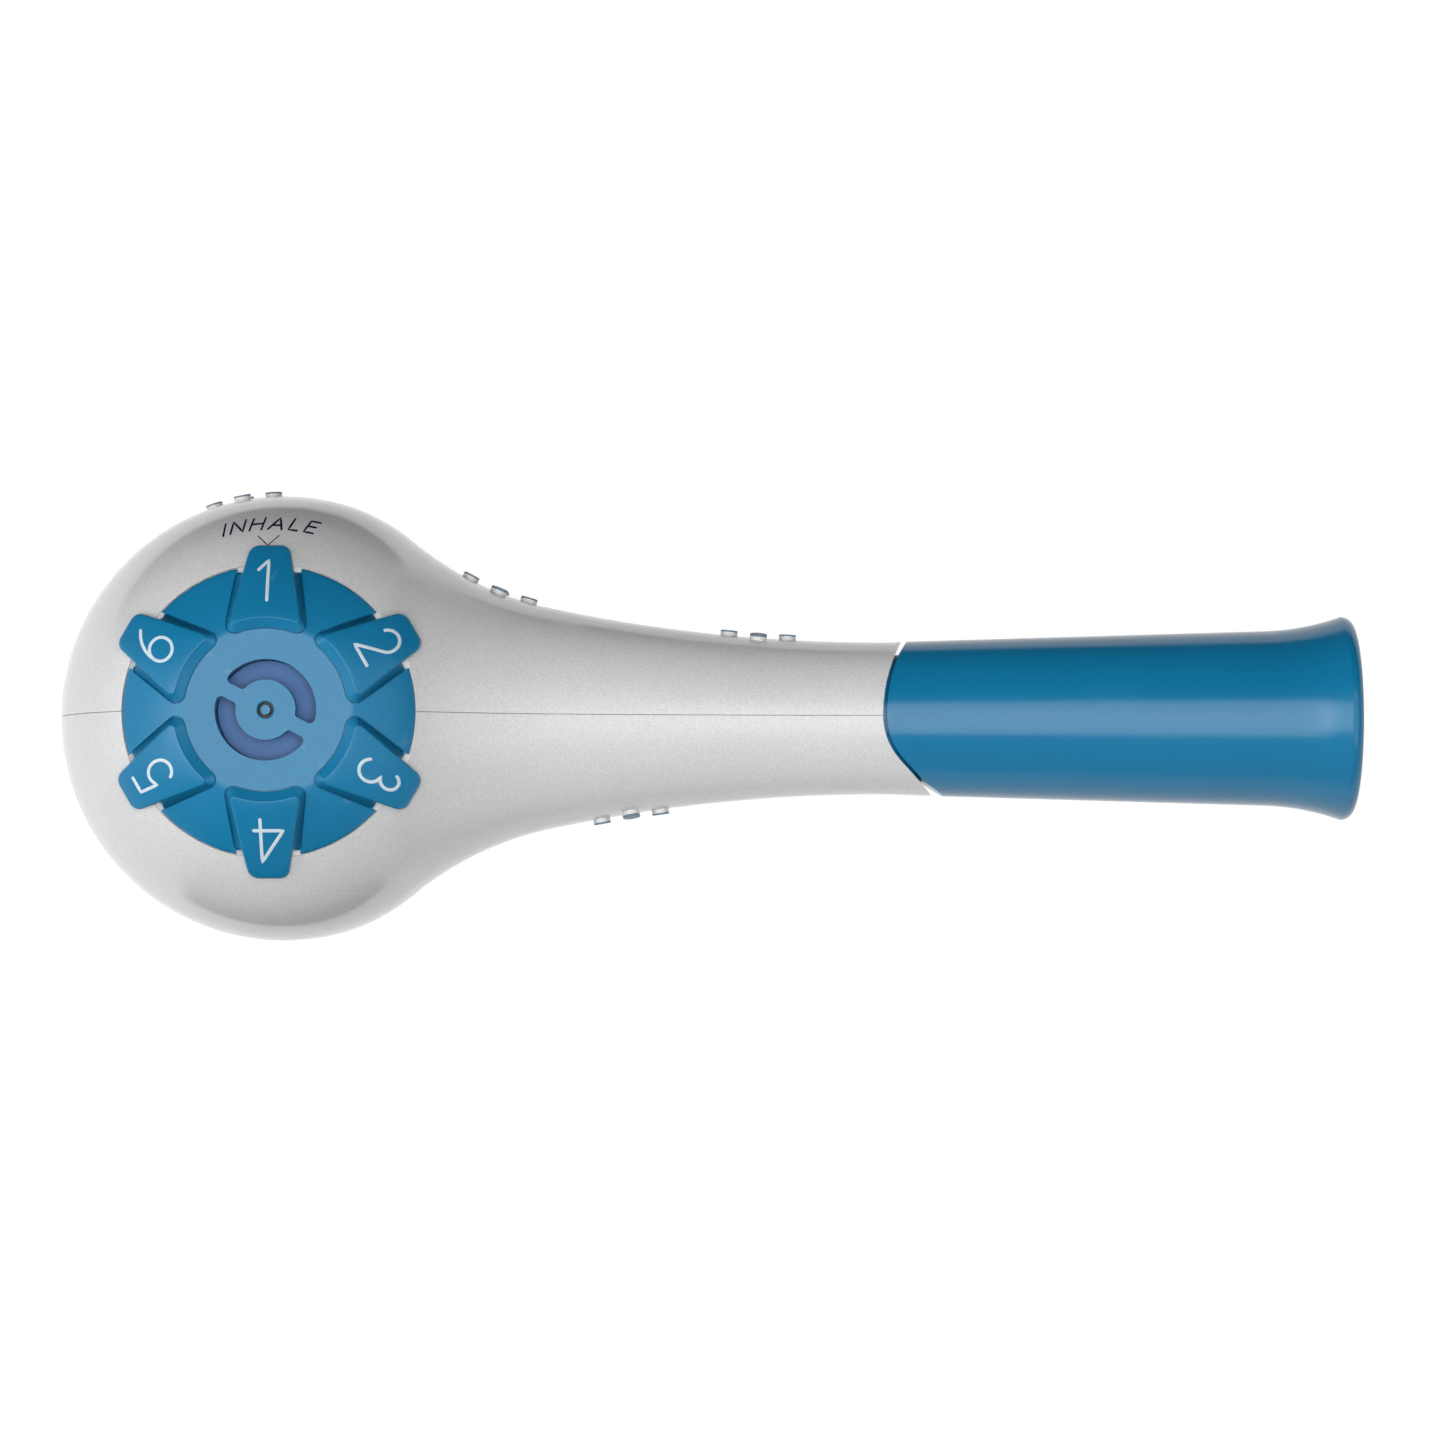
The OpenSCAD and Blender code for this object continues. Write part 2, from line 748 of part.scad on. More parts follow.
// Post on the port plate that holds an end of the click spring
module click_post() {
    depth = click_post_outer_radius - click_strip_radius + click_post_width;
    translate([-click_post_width / 2, -click_post_outer_radius, plate_top_z - overrun / 2])
        cube([click_post_width, depth, click_top_z - plate_top_z + overrun / 2]);
}

module click_slot() {
    rotate([0, 0, -90 - click_spread])
        rotate_extrude(angle = 2 * click_spread)
        translate([click_strip_radius - click_strip_thickness / 2 - running_gap, click_bottom_z - fit_gap])
        square([click_strip_thickness + 2 * running_gap, click_strip_height + 3 * fit_gap]);
}

module port_seal() {
    color(seal_blue) at_port() difference() {
        disc(port_seal_outer_radius, plate_top_z - port_seal_sink, orifice_disc_bottom_z - running_gap);
        disc(port_seal_inner_radius, 0, head_radius);
    }
}

module click_spring() {
    color(steel_grey) {
        rotate([0, 0, -90 - click_spread])
            rotate_extrude(angle = 2 * click_spread)
            translate([click_strip_radius - click_strip_thickness / 2, click_bottom_z])
            square([click_strip_thickness, click_strip_height]);
        translate([0, -click_nose_centre, 0]) difference() {
            disc(click_nose_radius, click_bottom_z, click_top_z);
            disc(click_nose_radius - click_strip_thickness, 0, head_radius);
        }
    }
}

module valve_seat() {
    window_outer = valve_radius - seat_window_margin;
    color(shell_white) at_port() difference() {
        disc(seat_radius, seat_floor_bottom_z, plate_bottom_z);
        disc(seat_radius - seat_wall, seat_floor_top_z, head_radius);
        disc(valve_stem_radius + running_gap, 0, head_radius);
        difference() {
            disc(window_outer, 0, head_radius);
            disc(seat_hub_radius, 0, head_radius);
            for (i = [0 : seat_spokes / 2 - 1]) {
                rotate([0, 0, i * 360 / seat_spokes])
                    translate([-window_outer, -seat_spoke_width / 2, 0])
                    cube([2 * window_outer, seat_spoke_width, head_radius]);
            }
        }
    }
}

// The inhale valve hangs below the seat's floor; the exhale valve lies on top of it
module valve(opens_inwards) {
    stem_low = seat_floor_bottom_z - valve_lift - fit_gap;
    stem_high = seat_floor_top_z + valve_lift + fit_gap;
    hung_z = seat_floor_bottom_z - running_gap;
    laid_z = seat_floor_top_z + running_gap;
    color(valve_clear) at_port() {
        if (opens_inwards) {
            disc(valve_radius, hung_z - valve_thickness, hung_z);
            disc(valve_stem_radius, seat_floor_bottom_z - valve_thickness, stem_high + valve_bulb_height);
            disc(valve_bulb_radius, stem_high, stem_high + valve_bulb_height);
        } else {
            disc(valve_radius, laid_z, laid_z + valve_thickness);
            disc(valve_stem_radius, stem_low - valve_bulb_height, seat_floor_top_z + valve_thickness);
            disc(valve_bulb_radius, stem_low - valve_bulb_height, stem_low);
        }
    }
}

module inhale_dial() { on_face(1) resistance_dial(inhale_settings); }
module inhale_orifice_disc() { on_face(1) orifice_disc(inhale_settings); }
module inhale_spindle() { on_face(1) spindle(); }
module inhale_spindle_clip() { on_face(1) spindle_clip(); }
module inhale_port_plate() { on_face(1) port_plate(); }
module inhale_port_seal() { on_face(1) port_seal(); }
module inhale_click_spring() { on_face(1) click_spring(); }
module inhale_valve_seat() { on_face(1) valve_seat(); }
module inhale_valve() { on_face(1) valve(true); }
module exhale_dial() { on_face(-1) resistance_dial(exhale_settings); }
module exhale_orifice_disc() { on_face(-1) orifice_disc(exhale_settings); }
module exhale_spindle() { on_face(-1) spindle(); }
module exhale_spindle_clip() { on_face(-1) spindle_clip(); }
module exhale_port_plate() { on_face(-1) port_plate(); }
module exhale_port_seal() { on_face(-1) port_seal(); }
module exhale_click_spring() { on_face(-1) click_spring(); }
module exhale_valve_seat() { on_face(-1) valve_seat(); }
module exhale_valve() { on_face(-1) valve(false); }

finger_side_shell();
thumb_side_shell();
finger_grip_caps();
thumb_grip_caps();
mouthpiece();
mouthpiece_seal();
inhale_dial();
inhale_orifice_disc();
inhale_spindle();
inhale_spindle_clip();
inhale_port_plate();
inhale_port_seal();
inhale_click_spring();
inhale_valve_seat();
inhale_valve();
exhale_dial();
exhale_orifice_disc();
exhale_spindle();
exhale_spindle_clip();
exhale_port_plate();
exhale_port_seal();
exhale_click_spring();
exhale_valve_seat();
exhale_valve();
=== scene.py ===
"""Looks of the handheld breathing trainer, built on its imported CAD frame.

Everything is in metres in the frame of the part: the airway runs along X with the mouth
end at the origin, the inhale dial faces +Z and the finger side of the body faces +Y.
"""
import logging
import math
from collections.abc import Callable, Sequence
from dataclasses import dataclass, field, replace
from enum import Enum

import bpy
from mathutils import Matrix, Vector


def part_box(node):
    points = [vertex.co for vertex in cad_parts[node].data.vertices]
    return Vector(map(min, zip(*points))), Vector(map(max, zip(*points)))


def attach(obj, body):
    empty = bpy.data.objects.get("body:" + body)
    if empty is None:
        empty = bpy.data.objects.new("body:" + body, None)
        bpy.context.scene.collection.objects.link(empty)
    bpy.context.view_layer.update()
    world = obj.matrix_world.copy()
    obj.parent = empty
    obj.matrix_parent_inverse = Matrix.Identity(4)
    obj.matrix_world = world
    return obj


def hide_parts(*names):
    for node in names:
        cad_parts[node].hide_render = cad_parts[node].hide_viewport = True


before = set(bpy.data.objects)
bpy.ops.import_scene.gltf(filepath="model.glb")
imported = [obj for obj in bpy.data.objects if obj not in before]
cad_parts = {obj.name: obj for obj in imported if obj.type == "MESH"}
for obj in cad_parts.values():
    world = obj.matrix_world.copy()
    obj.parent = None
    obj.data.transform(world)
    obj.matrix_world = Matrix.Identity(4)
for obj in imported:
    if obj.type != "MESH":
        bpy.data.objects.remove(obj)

log = logging.getLogger("breathing_trainer")
Object = bpy.types.Object
Socket = bpy.types.NodeSocket
MM = 0.001
FULL_TURN = math.tau
QUARTER = math.pi / 2
ORIGIN = Vector((0, 0, 0))
MERGE = 0.002 * MM
POLE = 0.001


class Side(Enum):
    """A face of the head: the value is the direction of its dial along Z."""

    INHALE = 1
    EXHALE = -1


class Grip(Enum):
    """A long side of the body: the value is its direction along Y."""

    FINGER = 1
    THUMB = -1


class Reach(Enum):
    """What a lamp shows in: everything, only matt surfaces or only reflections."""

    ALL = "all"
    MATT = "matt"
    GLOSS = "gloss"


# Modelling helpers


def select_only(obj: Object) -> None:
    """Leaves one object alone selected and active.

    Args:
        obj: the object that the next operators work on.
    """
    bpy.ops.object.select_all(action="DESELECT")
    obj.select_set(True)
    bpy.context.view_layer.objects.active = obj


def fresh(add: Callable[..., object], **settings: object) -> Object:
    """Adds a primitive while nothing else is selected.

    Args:
        add: the operator that adds it.
        settings: the operator's settings.

    Returns:
        The new object.
    """
    bpy.ops.object.select_all(action="DESELECT")
    add(**settings)
    return bpy.context.object


def in_scene(obj: Object) -> Object:
    """Links a new object to the scene."""
    bpy.context.scene.collection.objects.link(obj)
    return obj


def edit(obj: Object, *steps: Callable[[], object]) -> None:
    """Runs operators in edit mode on the whole mesh.

    Args:
        obj: the mesh object.
        steps: calls of edit-mode operators, in order.
    """
    select_only(obj)
    bpy.ops.object.mode_set(mode="EDIT")
    bpy.ops.mesh.select_all(action="SELECT")
    for step in steps:
        step()
    bpy.ops.object.mode_set(mode="OBJECT")


def close_up(merge: float = MERGE) -> None:
    """Merges doubles in edit mode and turns the faces outwards.

    Args:
        merge: the distance within which vertices merge; 0 merges none.
    """
    bpy.ops.mesh.select_all(action="SELECT")
    if merge:
        bpy.ops.mesh.remove_doubles(threshold=merge)
    bpy.ops.mesh.normals_make_consistent(inside=False)


def named_ring(name: str, points: Sequence[Vector], fill: str = "NOTHING") -> Object:
    """Adds a circle at the origin and lays its vertices on an outline.

    Args:
        name: the object's name.
        points: the outline, in order.
        fill: how the circle is filled.

    Returns:
        The new object.
    """
    obj = fresh(bpy.ops.mesh.primitive_circle_add, vertices=len(points), fill_type=fill)
    obj.name = name
    for vertex, point in zip(obj.data.vertices, points):
        vertex.co = point
    return obj


def spun(name: str, profile: Sequence[Vector], axis: tuple[int, int, int], steps: int) -> Object:
    """Turns a closed profile about an axis through the origin.

    Args:
        name: the object's name.
        profile: the closed profile, in order.
        axis: the axis of the turn.
        steps: the number of steps in a full turn.

    Returns:
        The turned solid.
    """
    obj = named_ring(name, profile)
    edit(
        obj,
        lambda: bpy.ops.mesh.spin(steps=steps, angle=FULL_TURN, center=(0, 0, 0), axis=axis),
        close_up,
    )
    return obj


def prism(name: str, outline: Sequence[Vector], low: float, length: float) -> Object:
    """Extrudes a flat outline along Z.

    Args:
        name: the object's name.
        outline: the outline, in order.
        low: the height at which it starts.
        length: its length.

    Returns:
        The closed prism.
    """
    obj = named_ring(name, [p + Vector((0, 0, low)) for p in outline], fill="NGON")
    edit(
        obj,
        lambda: bpy.ops.mesh.extrude_region_move(TRANSFORM_OT_translate={"value": (0, 0, length)}),
        lambda: close_up(0),
    )
    return obj


def lofted(name: str, rings: Sequence[Sequence[Vector]]) -> Object:
    """Extrudes a ring of edges from outline to outline and closes both ends on a point.

    Args:
        name: the object's name.
        rings: the outlines from the first pole to the last, all with as many points.

    Returns:
        The closed solid.
    """
    obj = named_ring(name, rings[0])
    for ring in rings[1:]:
        edit(obj, lambda: bpy.ops.mesh.select_all(action="DESELECT"))
        count = len(obj.data.vertices)
        for vertex in obj.data.vertices:
            vertex.select = vertex.index >= count - len(ring)
        for edge in obj.data.edges:
            edge.select = all(obj.data.vertices[i].select for i in edge.vertices)
        select_only(obj)
        bpy.ops.object.mode_set(mode="EDIT")
        bpy.ops.mesh.extrude_edges_move()
        bpy.ops.object.mode_set(mode="OBJECT")
        for vertex, point in zip(obj.data.vertices[count:], ring):
            vertex.co = point
    edit(obj, close_up)
    return obj


def cut(obj: Object, tool: Object) -> None:
    """Takes a tool's shape from a solid and removes the tool.

    Args:
        obj: the solid that stays.
        tool: the solid that is taken from it.
    """
    select_only(obj)
    modifier = obj.modifiers.new("cut", "BOOLEAN")
    modifier.operation = "DIFFERENCE"
    modifier.solver = "EXACT"
    modifier.object = tool
    bpy.ops.object.modifier_apply(modifier=modifier.name)
    bpy.data.objects.remove(tool)


def join(name: str, pieces: Sequence[Object]) -> Object:
    """Joins two or more pieces into one object.

    Args:
        name: the joined object's name.
        pieces: the objects, of which the first one stays.

    Returns:
        The joined object.
    """
    bpy.ops.object.select_all(action="DESELECT")
    for piece in pieces:
        piece.select_set(True)
    bpy.context.view_layer.objects.active = pieces[0]
    bpy.ops.object.join()
    pieces[0].name = name
    return pieces[0]


def copies(obj: Object, placings: Sequence[Matrix]) -> list[Object]:
    """Copies a piece to each of its places and removes the piece.

    Args:
        obj: the piece.
        placings: where each copy's mesh goes.

    Returns:
        The copies, each with its own mesh.
    """
    twins = []
    for placing in placings:
        twin = in_scene(obj.copy())
        twin.data = obj.data.copy()
        twin.data.transform(placing)
        twins.append(twin)
    bpy.data.objects.remove(obj)
    return twins


def smooth(obj: Object, degrees: float = 30) -> None:
    """Shades a mesh smooth and keeps the edges sharp that bend more than some degrees."""
    select_only(obj)
    bpy.ops.object.shade_smooth_by_angle(angle=math.radians(degrees))


def paint(obj: Object, material: bpy.types.Material) -> None:
    """Gives the whole object one material."""
    obj.data.materials.clear()
    obj.data.materials.append(material)


def flat(*places: tuple[float, float]) -> list[Vector]:
    """Points in the plane of the first two coordinates."""
    return [Vector((x, y, 0)) for x, y in places]


def arc(centre: Vector, radius: float, start: float, end: float, steps: int) -> list[Vector]:
    """Points on an arc in the plane of the first two coordinates.

    Args:
        centre: the arc's centre.
        radius: its radius.
        start: its first angle in degrees.
        end: its last angle in degrees.
        steps: the number of steps between them.

    Returns:
        The points from start to end.
    """
    angles = [math.radians(start + (end - start) * i / steps) for i in range(steps + 1)]
    return [centre + radius * Vector((math.cos(a), math.sin(a), 0)) for a in angles]


def rounded(corners: Sequence[Vector], radii: Sequence[float], steps: int = 6) -> list[Vector]:
    """Rounds the corners of a flat outline.

    Args:
        corners: the corners, in order.
        radii: each corner's radius; 0 keeps the corner.
        steps: the steps on each arc.

    Returns:
        The outline's points.
    """
    points = []
    for i, (corner, radius) in enumerate(zip(corners, radii)):
        if radius == 0:
            points.append(corner.copy())
            continue
        back = (corners[i - 1] - corner).normalized()
        ahead = (corners[(i + 1) % len(corners)] - corner).normalized()
        half = back.angle(ahead) / 2
        centre = corner + (back + ahead).normalized() * radius / math.sin(half)
        first = (corner + back * radius / math.tan(half) - centre).normalized()
        last = (corner + ahead * radius / math.tan(half) - centre).normalized()
        points += [centre + first.slerp(last, k / steps) * radius for k in range(steps + 1)]
    return points


def lifted(points: Sequence[Vector], level: Callable[[Vector], float]) -> list[Vector]:
    """Raises flat points to a ball about the origin, whose radius may change with the place."""
    return [Vector((p.x, p.y, math.sqrt(level(p) ** 2 - p.x**2 - p.y**2))) for p in points]


def drawn_in(outline: Sequence[Vector], amount: float) -> list[Vector]:
    """Draws a flat outline in.

    Args:
        outline: the outline, clockwise.
        amount: the distance; a negative one widens the outline.

    Returns:
        The outline's points, moved across its run.
    """
    moved = []
    for i, p in enumerate(outline):
        along = (outline[(i + 1) % len(outline)] - outline[i - 1]).normalized()
        moved.append(p + amount * Vector((-along.y, along.x, 0)))
    return moved


# Shader groups and finishes


class Graph:
    """A node tree with short ways to add and to join nodes."""

    def __init__(self, tree: bpy.types.NodeTree) -> None:
        """Starts with an empty tree."""
        self.tree = tree
        tree.nodes.clear()

    def add(self, kind: str, settings: dict | None = None, **sockets: object) -> bpy.types.Node:
        """Adds a node.

        Args:
            kind: the node's type name without its leading ShaderNode.
            settings: the node's own settings.
            sockets: values or output sockets for its inputs, by name or as i and a number.

        Returns:
            The node.
        """
        node = self.tree.nodes.new(kind if kind.startswith("Node") else "ShaderNode" + kind)
        for key, value in (settings or {}).items():
            setattr(node, key, value)
        for key, value in sockets.items():
            numbered = key[1:].isdigit()
            socket = node.inputs[int(key[1:]) if numbered else key.replace("_", " ")]
            if isinstance(value, Socket):
                self.tree.links.new(value, socket)
            else:
                socket.default_value = value
        return node

    def compute(self, operation: str, first: object, second: object, clamp: bool = False) -> Socket:
        """Computes with two values.

        Args:
            operation: what is computed.
            first: the first value.
            second: the second value.
            clamp: True keeps the result between 0 and 1.

        Returns:
            The result's socket.
        """
        settings = {"operation": operation, "use_clamp": clamp}
        return self.add("Math", settings, i0=first, i1=second).outputs[0]

    def blend(self, mask: object, low: object, high: object) -> Socket:
        """Mixes the first colour with a share, the mask, of the second."""
        return self.add("Mix", {"data_type": "RGBA"}, i0=mask, i6=low, i7=high).outputs[2]

    def ramp(self, value: Socket, low: float, high: float, to_low: float, to_high: float) -> Socket:
        """Maps a value smoothly from one range to another.

        Args:
            value: the socket that is mapped.
            low: where the range starts.
            high: where the range ends.
            to_low: the result at its start.
            to_high: the result at its end.

        Returns:
            The result's socket.
        """
        smoothly = {"interpolation_type": "SMOOTHSTEP"}
        node = self.add("MapRange", smoothly, Value=value, i1=low, i2=high, i3=to_low, i4=to_high)
        return node.outputs[0]

    def place(self) -> Socket:
        """The place on the object, which each pattern follows."""
        return self.add("TexCoord").outputs["Object"]

    def seen(self) -> Socket:
        """The mask of what the camera, a reflection or glass shows."""
        rays = self.add("LightPath").outputs
        direct = self.compute("ADD", rays["Is Camera Ray"], rays["Is Glossy Ray"])
        return self.compute("ADD", direct, rays["Is Transmission Ray"], clamp=True)


def grey(level: float) -> tuple[float, float, float, float]:
    """A neutral colour."""
    return level, level, level, 1


def new_group(name: str, inputs: dict[str, float], outputs: Sequence[str]) -> Graph:
    """Makes a shader group with number sockets.

    Args:
        name: the group's name.
        inputs: each input's name and first value.
        outputs: the outputs' names.

    Returns:
        The group's graph.
    """
    g = Graph(bpy.data.node_groups.new(name, "ShaderNodeTree"))
    sockets = g.tree.interface
    for key, value in inputs.items():
        socket = sockets.new_socket(key, in_out="INPUT", socket_type="NodeSocketFloat")
        socket.default_value = value
    for key in outputs:
        sockets.new_socket(key, in_out="OUTPUT", socket_type="NodeSocketFloat")
    return g


def new_material(name: str) -> tuple[bpy.types.Material, Graph]:
    """Starts a material with an empty node tree."""
    material = bpy.data.materials.new(name)
    material.use_nodes = True
    return material, Graph(material.node_tree)


def moulded_grain() -> bpy.types.NodeTree:
    """Builds the group for the fine grain of a moulded surface.

    Returns:
        The group: grain height for bump, a speckle and a slow tone, all from 0 to 1.
    """
    outputs = ["Height", "Speckle", "Tone"]
    g = new_group("moulded_grain", {"Grain": 3000, "Patch": 90}, outputs)
    given, place = g.add("NodeGroupInput").outputs, g.place()
    grain = given["Grain"]
    fine = g.add("TexNoise", Vector=place, Scale=grain, Detail=2.0, Roughness=0.6).outputs[0]
    cells = g.add("TexVoronoi", {"feature": "SMOOTH_F1"}, Vector=place, Scale=grain).outputs[0]
    slow = g.add("TexNoise", Vector=place, Scale=given["Patch"], Detail=3.0).outputs[0]
    g.add(
        "NodeGroupOutput", Height=g.compute("MULTIPLY", fine, cells),
        Speckle=g.ramp(fine, 0.35, 0.65, 0, 1), Tone=g.ramp(slow, 0.3, 0.7, 0, 1),
    )
    return g.tree


def rubbed_edge() -> bpy.types.NodeTree:
    """Builds the group that turns edge sharpness into a broken mask of rubbed edges.

    Returns:
        The group, whose mask runs from 0 to 1.
    """
    g = new_group("rubbed_edge", {"Sharpness": 0.5, "Start": 0.53, "Break": 700}, ["Mask"])
    given, place = g.add("NodeGroupInput").outputs, g.place()
    noise = g.add("TexNoise", Vector=place, Scale=given["Break"], Detail=4.0).outputs[0]
    edge = g.ramp(g.compute("SUBTRACT", given["Sharpness"], given["Start"]), 0, 0.12, 0, 1)
    broken = g.ramp(noise, 0.35, 0.6, 0.25, 1)
    g.add("NodeGroupOutput", Mask=g.compute("MULTIPLY", edge, broken))
    return g.tree


GROUPS: dict[str, bpy.types.NodeTree] = {}


@dataclass(frozen=True)
class Finish:
    """A moulded or turned finish and how it is made in the shader.

    The colour is linear. Sizes of the pattern are repeats per metre. A piece given a height
    for painted shade is painted near-black, as shade, where it stands nearer to the airway's
    plane than that height.
    """

    name: str
    colour: tuple[float, float, float]
    roughness: float
    mottle: float = 0.04
    speckle: float = 0.02
    grain: float = 3000
    grain_depth: float = 0.004 * MM
    patch: float = 90
    rub: float = 0.25
    rim_gloss: float = 0.0
    # Height below which the colour is painted near-black as the shade down in a hole; 0 paints
    # none.
    painted_shade_below: float = 0.0
    sockets: dict[str, float] = field(default_factory=dict)

    def shade(self, factor: float) -> tuple[float, float, float, float]:
        """The colour times a factor, as a socket takes it."""
        return tuple(min(1.0, c * factor) for c in self.colour) + (1.0,)

    def material(self) -> bpy.types.Material:
        """Builds the material once.

        Returns:
            The material of this name.
        """
        name = self.name + "_finish"
        known = bpy.data.materials.get(name)
        if known:
            return known
        material, g = new_material(name)
        spread = {"Grain": self.grain, "Patch": self.patch}
        grain = g.add("Group", {"node_tree": GROUPS["grain"]}, **spread).outputs
        sharp = g.add("NewGeometry").outputs["Pointiness"]
        rubbed = g.add("Group", {"node_tree": GROUPS["rub"]}, Sharpness=sharp).outputs["Mask"]
        tone = g.blend(grain["Tone"], self.shade(1 - self.mottle), self.shade(1 + self.mottle))
        flecks = g.ramp(grain["Speckle"], 0, 1, 1 - self.speckle, 1 + self.speckle)
        scaled = g.add("VectorMath", {"operation": "SCALE"}, i0=tone, Scale=flecks).outputs[0]
        pale = tuple(c + (1 - c) * 0.35 for c in self.colour) + (1.0,)
        colour = g.blend(g.compute("MULTIPLY", rubbed, self.rub), scaled, pale)
        # Painted shade: near-black where the piece lies nearer the airway's plane than the given
        # height, standing in for the shade in the hole round the pin.
        if self.painted_shade_below:
            height = g.add("SeparateXYZ", i0=g.place()).outputs[2]
            height = g.add("Math", {"operation": "ABSOLUTE"}, i0=height).outputs[0]
            shown = g.ramp(height, self.painted_shade_below - 0.05 * MM, self.painted_shade_below, 0, 1)
            colour = g.blend(shown, self.shade(0.02), colour)
        rough = g.ramp(grain["Tone"], 0, 1, self.roughness * 0.92, self.roughness * 1.08)
        bump = g.add("Bump", Height=grain["Height"], Distance=self.grain_depth, Strength=1.0)
        sockets = dict(self.sockets)
        if self.rim_gloss:
            facing = g.add("LayerWeight", Blend=0.5).outputs["Facing"]
            sockets["Coat Weight"] = g.ramp(facing, 0.42, 0.6, 0, self.rim_gloss)
            sockets["Coat Roughness"] = 0.1
        shader = g.add(
            "BsdfPrincipled", Base_Color=colour, Roughness=rough, Normal=bump.outputs[0], **sockets
        )
        g.add("OutputMaterial", i0=shader.outputs[0])
        return material


class Finishes:
    """The finishes of this object, each for one material slot of the record."""

    body_white = Finish(
        "body_white", (0.74, 0.74, 0.74), 0.36, mottle=0.012, speckle=0.055, grain=4200,
        grain_depth=0.006 * MM, rub=0.1, rim_gloss=0.8,
    )
    grip_blue = Finish("grip_blue", (0.13, 0.23, 0.33), 0.45, rub=0.15)
    mouthpiece_blue = Finish(
        "mouthpiece_blue", (0.007, 0.2, 0.4), 0.19, mottle=0.02, grain_depth=0.003 * MM,
        rub=0.05, sockets={"Specular IOR Level": 0.37},
    )
    dial_blue = Finish(
        "dial_blue", (0.007, 0.2, 0.4), 0.33, mottle=0.02, speckle=0.04,
        grain_depth=0.006 * MM, rub=0.12, sockets={"Specular IOR Level": 0.37},
    )
    # The pin's blue with painted shade: near-black below 24.1 mm, on the shaft down in the hole
    # round the pin.
    pin_blue = replace(dial_blue, name="pin_blue", painted_shade_below=24.1 * MM)
    disc_violet = Finish(
        "disc_violet", (0.06, 0.16, 0.39), 0.45, mottle=0.02, rub=0.0,
        sockets={"Specular IOR Level": 0.25},
    )
    inner_white = Finish("inner_white", (0.68, 0.69, 0.7), 0.45, mottle=0.02)
    seal_blue = Finish("seal_blue", (0.02, 0.07, 0.14), 0.55, mottle=0.05)
    valve_silicone = Finish(
        "valve_silicone", (0.7, 0.78, 0.84), 0.35, mottle=0.02, rub=0.05,
        sockets={"Subsurface Weight": 0.4, "Subsurface Scale": 1 * MM},
    )
    pin_steel = Finish(
        "pin_steel", (0.55, 0.56, 0.58), 0.3, mottle=0.06, grain=1800, rub=0.2,
        sockets={"Metallic": 1.0},
    )
    digit_white = Finish("digit_white", (0.66, 0.77, 0.84), 0.5, mottle=0.02, rub=0.0)
    ink_navy = Finish(
        "ink_navy", (0.004, 0.006, 0.045), 0.5, mottle=0.08, rub=0.0,
        sockets={"Specular IOR Level": 0.1},
    )


# The outer form shared by the body and the mouthpiece


@dataclass(frozen=True)
class Bow:
    """An arc of the outer form, in the plane of airway distance and radius.

    A negative radius is a hollow arc, whose centre lies outside the form.
    """

    centre: Vector
    radius: float
    end: float

    def height(self, distance: float) -> float:
        """Radius of the form at a distance from the head centre."""
        reach = distance - self.centre.x
        rise = math.sqrt(max(0.0, self.radius**2 - reach**2))
        return self.centre.y + math.copysign(rise, self.radius)

    def lean(self, distance: float) -> float:
        """Angle between the form's normal and the airway's cross-section."""
        return math.asin(max(-1.0, min(1.0, (distance - self.centre.x) / self.radius)))


@dataclass(frozen=True)
class OuterForm:
    """The turned outline that the ball, the shoulder, the neck and the barrel follow."""

    head_x: float
    head_radius: float
    shoulder_radius: float = 22 * MM
    waist_distance: float = 70 * MM
    waist_radius: float = 8.97 * MM
    shoulder_slope: float = math.radians(12)
    steep_slope: float = math.radians(40)

    def bows(self) -> list[Bow]:
        """Solves the four tangent arcs from the back of the head to the waist.

        Returns:
            The ball, the shoulder, the flank and the run to the waist.
        """
        gentle = Vector((math.sin(self.shoulder_slope), math.cos(self.shoulder_slope)))
        steep = Vector((math.sin(self.steep_slope), math.cos(self.steep_slope)))
        shoulder = (self.head_radius - self.shoulder_radius) * gentle
        open_x = self.waist_distance - shoulder.x - self.shoulder_radius * steep.x
        open_y = self.waist_radius - shoulder.y - self.shoulder_radius * steep.y
        across = (steep.x - gentle.x) * (gentle.y - 1) - (steep.y - gentle.y) * gentle.x
        flank = (open_x * (gentle.y - 1) - open_y * gentle.x) / across
        waist = ((steep.x - gentle.x) * open_y - (steep.y - gentle.y) * open_x) / across
        flank_centre = shoulder + (self.shoulder_radius + flank) * steep
        waist_centre = flank_centre + (waist - flank) * gentle
        return [
            Bow(Vector((0, 0)), self.head_radius, self.head_radius * gentle.x),
            Bow(shoulder, self.shoulder_radius, shoulder.x + self.shoulder_radius * steep.x),
            Bow(flank_centre, -flank, flank_centre.x - flank * gentle.x),
            Bow(waist_centre, -waist, self.waist_distance),
        ]

    def bow_at(self, distance: float) -> Bow:
        """The arc that holds a distance from the head centre."""
        found = self.bows()
        return next((b for b in found if distance <= b.end), found[-1])

    def foot(self, distance: float, turn: float) -> Matrix:
        """Frame on the surface, with Z along its normal.

        Args:
            distance: distance from the head centre along the airway.
            turn: angle round the airway from +Y towards +Z, in radians.

        Returns:
            The placing of a piece that stands on the surface.
        """
        bow = self.bow_at(distance)
        return (
            Matrix.Translation((self.head_x, 0, 0))
            @ Matrix.Rotation(turn, 4, "X")
            @ Matrix.Translation((distance, bow.height(distance), 0))
            @ Matrix.Rotation(-bow.lean(distance), 4, "Z")
            @ Matrix.Rotation(-QUARTER, 4, "X")
        )


# Body shells


